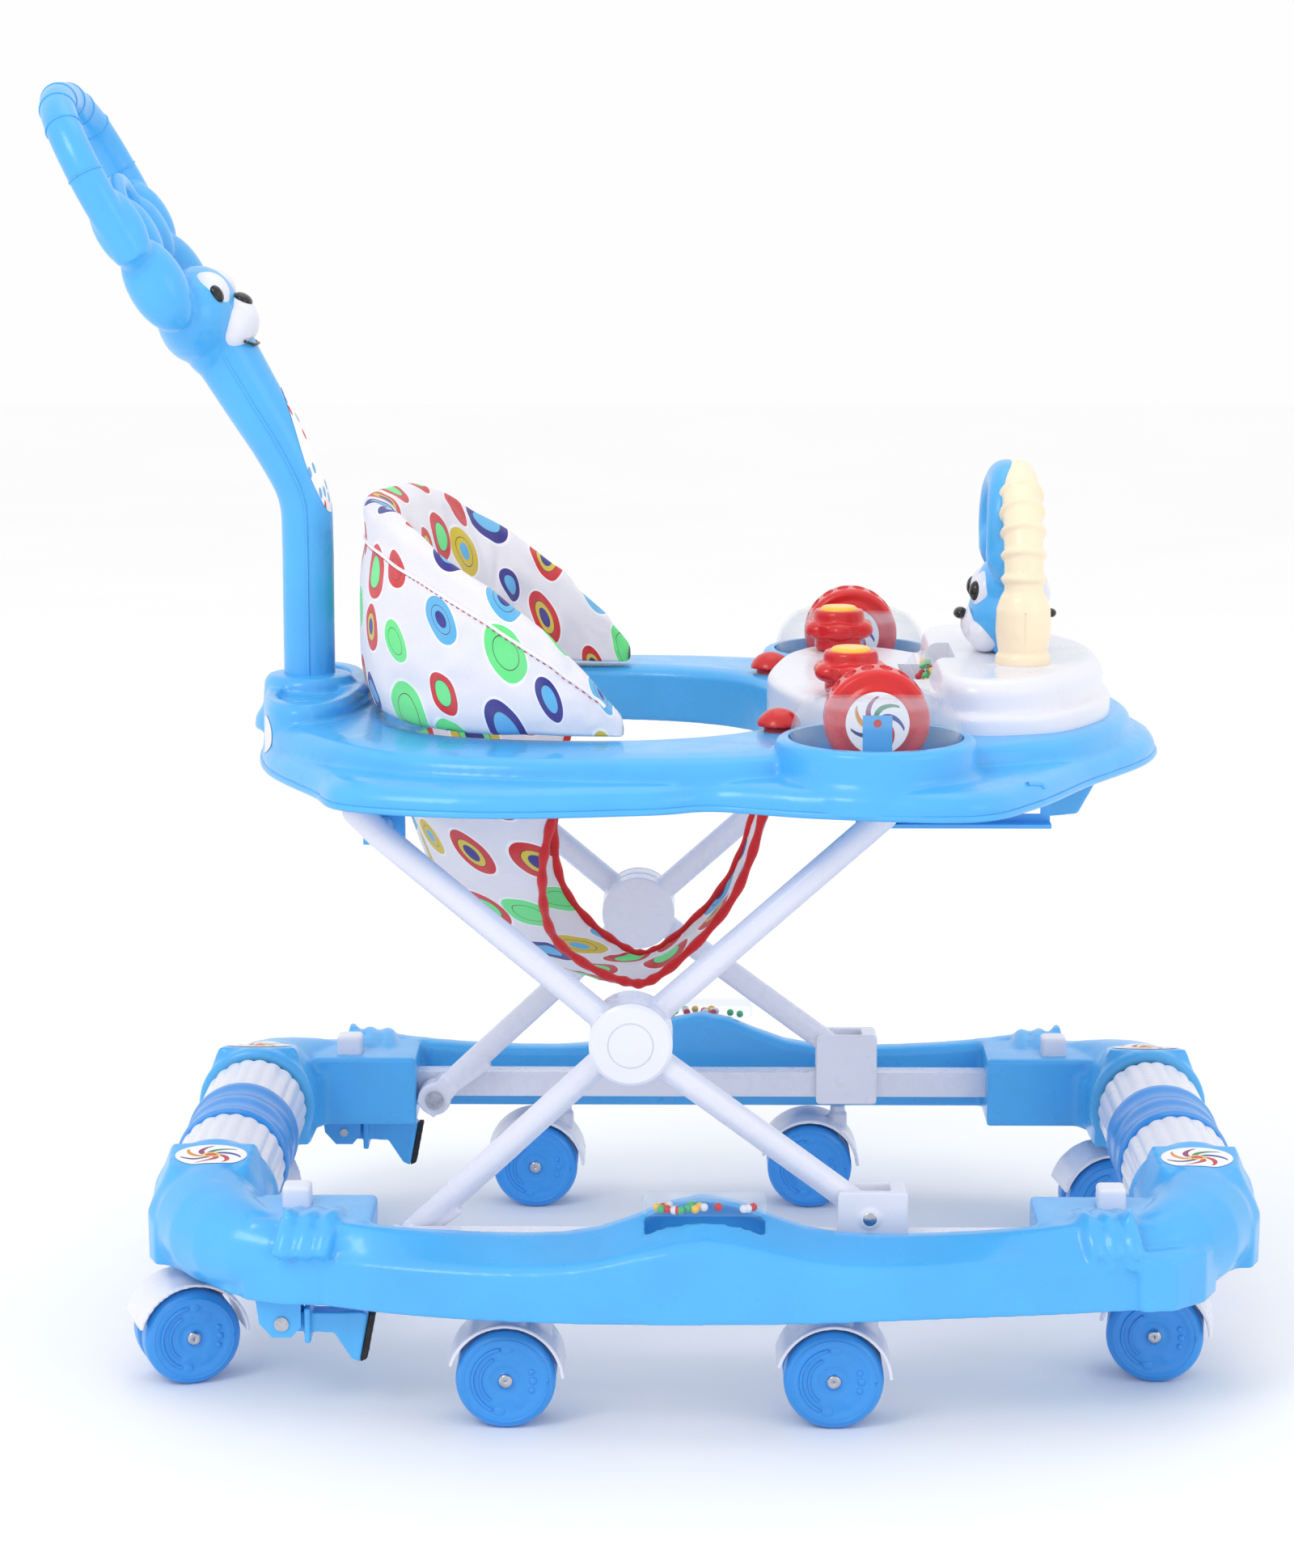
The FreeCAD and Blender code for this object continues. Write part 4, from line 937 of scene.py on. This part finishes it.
def tray_looks():
    """Deep tray body over a lower lobed flange, with round steps under the domes and a raised rear block."""
    flange, body, hole = turned_ring(FLANGE_PLAN), turned_ring(BODY_PLAN), turned_ring(HOLE_PLAN)
    bm = bmesh.new()
    add_turned_band(bm, [(flange, 0, 382), (flange, 0, 390), (flange, 3, 395), (flange, 9, 398.5), (flange, 20, 400),
                         (body, 26, 400), (body, 26, 395), (flange, 10, 393), (flange, 4, 388), (flange, 4, 382)])
    add_turned_band(bm, [(body, 0, 390), (body, 0, 404), (body, 2, 409), (body, 7, 412.5), (body, 20, 414),
                         (hole, -12, 414.5), (hole, -4, 413), (hole, 0, 409), (hole, 0, 376), (hole, -4, 376),
                         (hole, -4, 406), (hole, -12, 408), (body, 10, 406), (body, 5, 398), (body, 5, 390)])
    add_rim(bm, mirror_ring(REAR_PLAN), [(383, 0), (421, 0), (426, 5), (426, 20), (410, 20), (383, 6)], 96)
    for sy in SIDES.values():
        add_lathe(bm, [(30, 384), (70, 384), (69, 394), (65, 399), (62.5, 403), (62, 418), (61, 421), (58.6, 422),
                       (30, 422)], (DOME_X, sy * DOME_Y, 0), "Z", 96)
    add_lathe(bm, [(10, 396), (37, 396), (36, 404), (31, 412), (30, 428), (27, 432), (19, 433), (10, 433)],
              (STEM_X, 0, 0), "Z", 64)
    rear_block = ((-288, 46, 384), (-225, 60, 384), (-286, 44, 422), (-232, 56, 422))
    add_hull(bm, [(x, sy * y, z) for x, y, z in rear_block for sy in (-1, 1)])
    tray = soften("tray_looks", bm, "blue", "tray", 1.9, 4, ["tray_shell"])
    carve(tray, tray_pockets)
    ridge_trim(tray)
    sticker("rear_label", tray, (-281, -76, 404), (-1, -0.5, 0.02), 12, 12, "label", "tray", 6, 32)


def tray_pockets(bm):
    for sy in SIDES.values():
        add_lathe(bm, [(0.5, 396.5), (54, 396.5), (54, 430), (0.5, 430)],
                  (DOME_X, sy * DOME_Y, 0), "Z", 96)


def ridge_trim(tray):
    """Raised zigzag moulding near each front corner of the tray, and the bead round its lower edge."""
    tree = skin_of(tray)
    bm = bmesh.new()
    for sy in SIDES.values():
        corners = [(196, 214), (206, 203), (219, 206), (228, 184), (238, 184), (246, 164), (256, 158),
                   (262, 140)]
        line = []
        for (x0, y0), (x1, y1) in zip(corners, corners[1:]):
            for k in range(8):
                f = k / 8
                top = at(x0 + (x1 - x0) * f, sy * (y0 + (y1 - y0) * f), 470)
                spot = lay_on(tree, top, Vector((0, 0, -1)), 0.2)
                if spot:
                    line.append(spot)
        if len(line) > 8:
            add_tube(bm, line, 1.5 * MM, 8)
    finish_mesh("zigzag_trim", bm, "blue", "tray")
    bead = bmesh.new()
    section = [(382, -0.6), (383.2, -1.6), (385, -1.6), (386, -0.4), (385, 2), (382.6, 2)]
    add_rim(bead, mirror_ring(FLANGE_PLAN), section, 240)
    finish_mesh("tray_edge_bead", bead, "blue", "tray")


CONSOLE_FRONT = [(262, 0), (257, 50), (238, 92), (212, 122), (182, 134), (160, 128), (150, 104), (148, 50),
                 (148, 0)]
CONSOLE_REAR = [(162, 0), (160, 70), (142, 100), (116, 122), (84, 122), (62, 102), (50, 60), (42, 0)]


def add_pad(bm, half, z0, z1, edge):
    """Closed low block with a rounded top edge over a smooth outline."""
    ring = smooth_ring(mirror_ring(half), 120)
    rows = [inset_ring(ring, 0, z0)]
    for k in range(7):
        a = math.pi / 2 * k / 6
        rows.append(inset_ring(ring, edge * (1 - math.cos(a)), z1 - edge * (1 - math.sin(a))))
    add_capped(bm, rows)


def console_looks():
    """White play console: deep rounded front, lower rear deck with a ringed seat for each knob."""
    bm = bmesh.new()
    add_pad(bm, CONSOLE_FRONT, 404, 448, 11)
    add_pad(bm, [(x if x < 200 else x + 5, y * 1.04) for x, y in CONSOLE_FRONT], 404, 426, 4)
    add_pad(bm, CONSOLE_REAR, 404, 433.5, 7)
    for sy in SIDES.values():
        add_lathe(bm, [(8, 426), (27, 426), (26, 431), (23.5, 434), (8, 434)],
                  (KNOB_X, sy * KNOB_Y, 0), "Z", 64)
        add_lathe(bm, [(8, 440), (21, 440), (20, 448.6), (18.5, 449.4), (8, 449.4)],
                  (ARCH_X, sy * ARCH_Y, 0), "Z", 64)
    console = soften("console_looks", bm, "white", "tray", 1.6, 4, ["console"])
    carve(console, console_cuts)


def console_cuts(bm):
    add_block(bm, 130, 164, -34, 34, 419.5, 470)
    for sy in SIDES.values():
        add_lathe(bm, [(0.5, 415), (6, 415), (6, 450), (0.5, 450)], (KNOB_X, sy * KNOB_Y, 0), "Z", 32)


def gear_looks(side, sy):
    """Red wheel with a rounded tread, a row of dimples round it and a pinwheel print on each face."""
    node = "gear_wheel_" + side
    low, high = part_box(node)
    middle = (low + high) / 2
    x, y, z = (middle.x - MIDDLE_X) / MM, middle.y / MM, middle.z / MM
    reach = (high.z - low.z) / 2 / MM
    half = (high.y - low.y) / 2 / MM
    bm = bmesh.new()
    near = [(2.6, -half), (reach - 12, -half), (reach - 9, 2 - half), (reach - 3, 2 - half),
            (reach - 0.6, 5 - half)]
    add_lathe(bm, near + [(reach, 0)] + [(r, -h) for r, h in reversed(near)], (x, y, z), "Y", 128)
    wheel = soften(node + "_looks", bm, "red", node, 0.9, 3, [node])

    def dimples(cut):
        for k in range(18):
            a = math.tau * k / 18
            add_ball(cut, (x + reach * math.cos(a), y, z + reach * math.sin(a)), (4.2, half * 0.62, 4.2))
    carve(wheel, dimples)
    for face in (1, -1):
        sticker("gear_print_%s_%s" % (side, "out" if face > 0 else "in"), wheel,
                (x, y + sy * face * half, z), (0, sy * face, 0), 19.5, 19.5, "pinwheel", node)


def knob_looks(side, sy):
    """Flower knob with full petals and a collar, its yellow button, and the red button beside it."""
    node = "flower_knob_" + side
    bm = bmesh.new()
    add_cad(bm, node)
    for k in range(6):
        a = math.tau * (k + 0.5) / 6
        add_ball(bm, (KNOB_X + 15.5 * math.cos(a), sy * KNOB_Y + 15.5 * math.sin(a), 449), (10, 10, 6.5))
    add_lathe(bm, [(13.6, 462), (16.4, 462), (17.4, 460), (18, 452), (17.5, 448), (13.2, 448)],
              (KNOB_X, sy * KNOB_Y, 0), "Z", 64)
    soften(node + "_looks", bm, "red", node, 1.0, 5, [node])
    moulded("knob_button_" + side, "knob_button_looks_" + side, "yellow", "knob_button_" + side, 0.9, 3)
    moulded("red_button_" + side, "red_button_looks_" + side, "red", "red_button_" + side, 1.0, 3)


def bead_roller_looks():
    """Loose coloured beads inside the clear rattle roller; its white end caps are not made here."""
    random.seed(5)
    for colour in ("red", "yellow", "green"):
        bm = bmesh.new()
        for _ in range(6):
            a = random.uniform(0, math.tau)
            r = random.uniform(1, 7)
            spot = at(BEADS_X + r * math.cos(a), random.uniform(-25, 25), BEADS_Z + r * math.sin(a))
            add_bead(bm, spot, 2.4)
        finish_mesh("roller_beads_" + colour, bm, colour, "bead_roller")


def arch_looks():
    """Cream arch: vase-shaped feet, a thick bow and soft rings on its shoulders."""
    bm = bmesh.new()
    bow = [(ARCH_X, ARCH_Y * math.cos(a), ARCH_Z + ARCH_RISE * math.sin(a))
           for a in [math.pi * k / 12 for k in range(13)]]
    tube_at(bm, [(ARCH_X, ARCH_Y, 470)] + bow + [(ARCH_X, -ARCH_Y, 470)], 12.6, 72, 28)
    for sy in SIDES.values():
        add_lathe(bm, [(2, 448), (17.5, 448), (18, 450), (17.5, 455), (15.5, 456.5), (16.5, 460), (17.8, 470),
                       (17.4, 484), (15, 492), (13.2, 495), (2, 495)], (ARCH_X, sy * ARCH_Y, 0), "Z", 48)
        for degrees in (8, 21, 34, 47, 60):
            a = math.radians(degrees)
            middle = at(ARCH_X, sy * ARCH_Y * math.cos(a), ARCH_Z + ARCH_RISE * math.sin(a))
            across = Vector((1, 0, 0))
            out = Vector((0, sy * math.cos(a), math.sin(a)))
            turns = [math.tau * k / 32 for k in range(33)]
            ring = [middle + (across * math.cos(b) + out * math.sin(b)) * 12.4 * MM for b in turns]
            add_tube(bm, ring, 2.7 * MM, 10)
    soften("toy_arch_looks", bm, "cream", "tray", 1.1, 3, ["toy_arch"])
    lines = bmesh.new()
    for sy in SIDES.values():
        seam = ((83.4, 450), (81.6, 457), (83.6, 471), (83.2, 484))
        tube_at(lines, [(ARCH_X, sy * y, z) for y, z in seam], 0.6, 16, 8)
    finish_mesh("arch_seams", lines, "cream", "tray")


def across_middle(points):
    """Path from the +Y side over to its mirror image. A last point on the middle line is not repeated."""
    far = [(x, -y, z) for x, y, z in reversed(points)]
    return points + (far[1:] if points[-1][1] == 0 else far)


def figure_looks():
    """Blue bear under the arch with a white face on both sides."""
    bm = bmesh.new()
    add_cad(bm, "arch_figure")
    add_ball(bm, (197, 0, 492), (17, 30, 20))
    for sy in SIDES.values():
        add_ball(bm, (197, sy * 31, 516), (13, 15, 22))
    arm = [(192, 30, 512), (192, 34, 532), (194, 28, 549), (198, 12, 560)]
    tube_at(bm, across_middle(arm), lambda t: (9.0 + 4.0 * math.sin(math.pi * t) ** 4) * MM, 56, 20)
    soften("figure_looks", bm, "blue", "tray", 1.3, 6, ["arch_figure"])
    face = bmesh.new()
    dark = bmesh.new()
    for x0, way, size in ((185, -1, 1.05), (217, 1, 0.8)):
        add_ball(face, (x0, 0, 466), (15 * size, 17 * size, 15 * size))
        add_ball(dark, (x0 + way * 15 * size, 0, 473), (4.4 * size, 6.5 * size, 3.8 * size))
        for sy in SIDES.values():
            add_ball(face, (x0 + 2, sy * 9 * size, 487), (11 * size, 11 * size, 15 * size))
            add_ball(face, (x0, sy * 11 * size, 461), (11 * size, 12 * size, 12 * size))
            add_ball(dark, (x0 + way * 6 * size, sy * 12 * size, 489), (4.6 * size, 5.4 * size, 6.6 * size))
    soften("figure_faces", face, "white", "tray", 1.0, 4)
    finish_mesh("figure_eyes", dark, "black", "tray")


# ---------------------------------------------------------------- push handle

HOOP_RADIUS = 11.6


def handle_looks():
    """Hollow-moulded handle: stem, bear head with lobes, raised arms and ringed hoop."""
    bm = bmesh.new()
    stem = [(STEM_X, 0, 392), (STEM_X, 0, 470), (STEM_X, 0, 520), (-263, 0, 550), (-276, 0, 580), (-296, 0, 614),
            (-314, 0, 645)]
    tube_at(bm, stem, lambda t: (17.0 + 4.5 * max(0.0, t - 0.55) / 0.45) * MM, 48, 32)
    add_ball(bm, (-330, 0, 668), (27, 44, 32))
    add_ball(bm, (-322, 0, 657), (20, 29, 30))
    for sy in SIDES.values():
        add_ball(bm, (-350, sy * 50, 690), (19, 20, 33), -28)
        add_ball(bm, (-371, sy * 64, 726), (16, 15, 29), -28)
        add_ball(bm, (-362, sy * 26, 722), (10, 14, 24), -28)
    hoop = across_middle([(-362, 66, 708), (-386, 74, 752), (-404, 62, 786), (-413, 34, 802), (-415, 0, 806)])
    tube_at(bm, hoop, HOOP_RADIUS, 80, 24)
    tube_at(bm, across_middle([(-358, 22, 712), (-374, 26, 738), (-380, 10, 752)]), 6, 40, 16)
    shell = soften("handle_looks", bm, "blue", "tray", 1.6, 5, ["push_handle"])
    handle_face()
    handle_lines(hoop, stem)
    sticker("handle_print", shell, (-262, 0, 580), (1, -0.35, 0.4), 13, 44, "confetti", "tray", 10, 40)


def handle_face():
    """White eyes and muzzle low on the front of the bear head."""
    face = bmesh.new()
    add_ball(face, (-309, 0, 663), (19, 19, 18), -20)
    for sy in SIDES.values():
        add_ball(face, (-322, sy * 18, 682), (15, 14, 15), -30)
        add_ball(face, (-309, sy * 10, 660), (15, 14, 15), -20)
    soften("handle_face", face, "white", "tray", 1.0, 4)
    dark = bmesh.new()
    for sy in SIDES.values():
        add_ball(dark, (-315, sy * 27, 683), (4.4, 5.4, 6.8), -30)
    add_ball(dark, (-301, 0, 678), (7, 8.5, 4.4), 25)
    tube_at(dark, across_middle([(-298, 18, 652), (-292.5, 9, 649.5), (-291, 0, 650)]), 1.0, 24, 8)
    finish_mesh("handle_eyes", dark, "black", "tray")


def handle_lines(hoop, stem):
    """Parting line down both sides, and grooved grip rings near the top of the hoop."""
    bm = bmesh.new()
    line = smooth_line([at(*p) for p in hoop], 81)
    for k in (12, 21, 28, 35, 45, 52, 59, 68):
        along = (line[k + 1] - line[k - 1]).normalized()
        side = along.cross(Vector((0, 0, 1))).normalized()
        up = side.cross(along)
        ring = [line[k] + (side * math.cos(a) + up * math.sin(a)) * HOOP_RADIUS * MM
                for a in [math.tau * j / 32 for j in range(33)]]
        add_tube(bm, ring, 0.6 * MM, 8)
    for sy in SIDES.values():
        seam = [at(x + 1, sy * (17.2 + 4.3 * max(0, k - 3) / 3), z) for k, (x, _, z) in enumerate(stem)]
        add_tube(bm, smooth_line(seam, 60), 0.8 * MM, 8)
    finish_mesh("handle_lines", bm, "blue", "tray")


def build_top():
    leg_looks()
    tray_looks()
    console_looks()
    for side, sy in SIDES.items():
        gear_looks(side, sy)
        knob_looks(side, sy)
    bead_roller_looks()
    arch_looks()
    figure_looks()
    handle_looks()
    moulded("height_lever", "lever_looks", "blue", "height_lever", 1.2, 5)


# ---------------------------------------------------------------- cloth

def cloth_grid(name, rows, material, body):
    """Cloth surface through rows of points, with a print laid on it at true size."""
    bm = bmesh.new()
    uv = bm.loops.layers.uv.new("print")
    verts = add_grid(bm, rows)
    across = {}
    middle = len(rows[0]) // 2
    down = 0.0
    for i, row in enumerate(verts):
        if i:
            down += (rows[i][middle] - rows[i - 1][middle]).length
        run = 0.0
        for j, vert in enumerate(row):
            if j:
                run += (rows[i][j] - rows[i][j - 1]).length
            across[vert] = (run, down)
        half = across[row[middle]][0]
        for vert in row:
            across[vert] = (across[vert][0] - half, down)
    for face in bm.faces:
        for loop in face.loops:
            loop[uv].uv = across[loop.vert]
    return finish_mesh(name, bm, material, body)


def relax_cloth(piece, pinned, pressure, gravity, cap, frames=20):
    """Short cloth run on the piece. No point ends further than cap from where it began."""
    start = [v.co.copy() for v in piece.data.vertices]
    group = piece.vertex_groups.new(name="pin")
    group.add(pinned, 1.0, "REPLACE")
    cloth = piece.modifiers.new("cloth", "CLOTH")
    settings = {"vertex_group_mass": "pin", "quality": 6, "mass": 0.15, "tension_stiffness": 25,
                "compression_stiffness": 8, "bending_stiffness": 0.15, "shrink_min": -0.015,
                "use_pressure": pressure > 0, "uniform_pressure_force": pressure}
    for key, value in settings.items():
        setattr(cloth.settings, key, value)
    cloth.settings.effector_weights.gravity = gravity
    cloth.point_cache.frame_start = 1
    cloth.point_cache.frame_end = frames
    for frame_number in range(1, frames + 1):
        bpy.context.scene.frame_set(frame_number)
    applied(piece)
    bpy.context.scene.frame_set(1)
    for vert, first in zip(piece.data.vertices, start):
        move = vert.co - first
        if move.length > cap * MM:
            vert.co = first + move.normalized() * cap * MM


def crease(piece, strength, scale, seed):
    """Soft creases pressed along the surface normals."""
    normals = [v.normal.copy() for v in piece.data.vertices]
    for vert, normal in zip(piece.data.vertices, normals):
        p = vert.co * scale + Vector((seed, 0, 0))
        fold = 1 - abs(noise.noise(Vector((p.x, p.y, p.z * 0.45)))) * 2.2
        fine = noise.noise(p * 2.7) * 0.45
        vert.co += normal * (fold * 0.6 + fine) * strength * MM
    subdivide = piece.modifiers.new("fine", "SUBSURF")
    subdivide.levels = 1
    subdivide.render_levels = 1
    applied(piece)
    shade_smooth(piece)


SEAT_OUTER = [(-50, 164), (-110, 166), (-165, 148), (-203, 95), (-219, 0)]
SEAT_INNER = [(-52, 153), (-108, 147), (-156, 131), (-184, 84), (-198, 0)]
SEAT_FOOT = 417.5
SEAM_COLUMN = 12
SEAT_TOP = [(-219, 552), (-205, 550), (-176, 535), (-136, 509), (-96, 478), (-66, 449), (-50, 428)]


def seat_top(x):
    x = min(max(x, SEAT_TOP[0][0]), SEAT_TOP[-1][0])
    for (x0, z0), (x1, z1) in zip(SEAT_TOP, SEAT_TOP[1:]):
        if x <= x1:
            f = (x - x0) / (x1 - x0)
            return z0 + (z1 - z0) * f
    return SEAT_TOP[-1][1]


def plan_line(half, count):
    full = half + [(x, -y) for x, y in reversed(half[:-1])]
    return [(p.x, p.y) for p in smooth_line([(x, y, 0) for x, y in full], count)]


def seat_back_looks():
    """Padded wrap-round back: two dotted panels over soft wadding, sewn along a top seam."""
    stations = 121
    outer = plan_line(SEAT_OUTER, stations)
    inner = plan_line(SEAT_INNER, stations)
    rows = []
    for (ox, oy), (ix, iy) in zip(outer, inner):
        top = seat_top(ox)
        half = math.hypot(ox - ix, oy - iy) / 2
        mx, my = (ox + ix) / 2, (oy + iy) / 2
        dx, dy = (ox - mx) / half, (oy - my) / half
        shoulder = top - half

        def panel(side, shares):
            """Points up or down one panel, which swells between its seams."""
            points = []
            for f in shares:
                swell = 3.0 * math.sin(math.pi * f) * min(1, (top - 417) / 90)
                reach = side * (half + swell)
                rise = max(2, shoulder - SEAT_FOOT) * f
                points.append(at(mx + dx * reach, my + dy * reach, SEAT_FOOT + rise))
            return points

        row = panel(1, [k / 14 for k in range(15)])
        for k in range(1, 8):
            a = math.pi * k / 8
            row.append(at(mx + dx * half * math.cos(a), my + dy * half * math.cos(a),
                          max(SEAT_FOOT + 2, shoulder) + half * math.sin(a)))
        rows.append(row + panel(-1, [1 - k / 14 for k in range(15)]))
    piece = cloth_grid("seat_back_looks", rows, "cloth", "tray")
    width = len(rows[0])
    ends = bmesh.new()
    ends.from_mesh(piece.data)
    ends.verts.ensure_lookup_table()
    ends.faces.new([ends.verts[j] for j in range(width)])
    ends.faces.new([ends.verts[(stations - 1) * width + j] for j in reversed(range(width))])
    for i in range(stations - 1):
        a, b = i * width, (i + 1) * width
        ends.faces.new([ends.verts[a], ends.verts[a + width - 1], ends.verts[b + width - 1], ends.verts[b]])
    facing_out(ends)
    ends.to_mesh(piece.data)
    ends.free()
    shade_smooth(piece)
    pinned = [i * width + j for i in range(stations) for j in (0, 1, width - 2, width - 1)]
    pinned += list(range(width)) + [(stations - 1) * width + j for j in range(width)]
    pinned += [i * width + SEAM_COLUMN for i in range(0, stations, 2)]
    relax_cloth(piece, pinned, 1.6, 0.0, 6.0)
    seam = [piece.data.vertices[i * width + SEAM_COLUMN].co.copy() for i in range(3, stations - 3)]
    crease(piece, 1.7, 21, 3)
    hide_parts("seat_back")
    stitched_seam(piece, seam)


def stitched_seam(piece, seam):
    """Fine red stitches and a sewn ridge along the seam under the top edge."""
    tree = skin_of(piece)
    laid = []
    for p in seam:
        near, normal = tree.find_nearest(p)[:2]
        laid.append(near + normal * 0.3 * MM)
    threads = bmesh.new()
    line = smooth_line(laid, 2 * len(laid))
    for k in range(0, len(line) - 2, 2):
        add_tube(threads, [line[k], line[k] + (line[k + 1] - line[k]) * 0.9], 0.42 * MM, 6)
    finish_mesh("seat_stitches", threads, "binding", "tray")
    ridge = bmesh.new()
    raised = [p + Vector((0, 0, 1.6 * MM)) for p in laid]
    add_tube(ridge, smooth_line(raised, len(raised)), 1.1 * MM, 8)
    finish_mesh("seat_seam_ridge", ridge, "plain_cloth", "tray")


SLING_KEYS = [
    [(-203, 0, 380), (-194, 80, 380), (-158, 127, 379), (-92, 147, 378)],
    [(-192, 0, 326), (-174, 66, 324), (-143, 102, 322), (-103, 121, 322)],
    [(-158, 0, 272), (-143, 40, 270), (-121, 64, 268), (-96, 82, 270)],
    [(-98, 0, 243), (-88, 22, 241), (-74, 38, 238), (-56, 50, 236)],
    [(-34, 0, 240), (-32, 16, 238), (-30, 30, 236), (-27, 41, 238)],
    [(14, 0, 284), (15, 15, 283), (17, 28, 284), (19, 40, 288)],
    [(42, 0, 352), (42, 18, 352), (42, 34, 353), (41, 48, 356)],
    [(53, 0, 402), (52, 20, 402), (50, 38, 402), (47, 56, 402)],
]


def sling_looks():
    """Fabric sling: one dotted sheet from the back of the seat hole, under the child, up to the front."""
    along = 81
    rails = [smooth_line([at(*row[k]) for row in SLING_KEYS], along) for k in range(4)]
    rows = []
    for i in range(along):
        half = smooth_line([rails[k][i] for k in range(4)], 25)
        left = [Vector((p.x, -p.y, p.z)) for p in reversed(half[1:])]
        rows.append(left + half)
    piece = cloth_grid("sling_looks", rows, "cloth", "tray")
    width = len(rows[0])
    pinned = list(range(width)) + [(along - 1) * width + j for j in range(width)]
    pinned += [i * width + j for i in range(along) for j in (0, width - 1)]
    relax_cloth(piece, pinned, 0, 0.6, 8.0, 16)
    crease(piece, 1.6, 26, 8)
    thick = piece.modifiers.new("thick", "SOLIDIFY")
    thick.thickness = 1.4 * MM
    thick.offset = 0
    applied(piece)
    shade_smooth(piece)
    tree = skin_of(piece)
    tape = bmesh.new()
    for j in (0, width - 1):
        path = [tree.find_nearest(row[j])[0] for row in rows]
        add_tube(tape, smooth_line(path[::2], 160), lambda t: (3.0 + 0.5 * math.sin(t * 130)) * MM, 12)
    binding = finish_mesh("sling_binding", tape, "binding", "tray")
    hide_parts("seat_sling")


# ---------------------------------------------------------------- build

paint_kept_nodes()
build_base()
build_top()
seat_back_looks()
sling_looks()
build_stage()
build_lights()
build_camera()
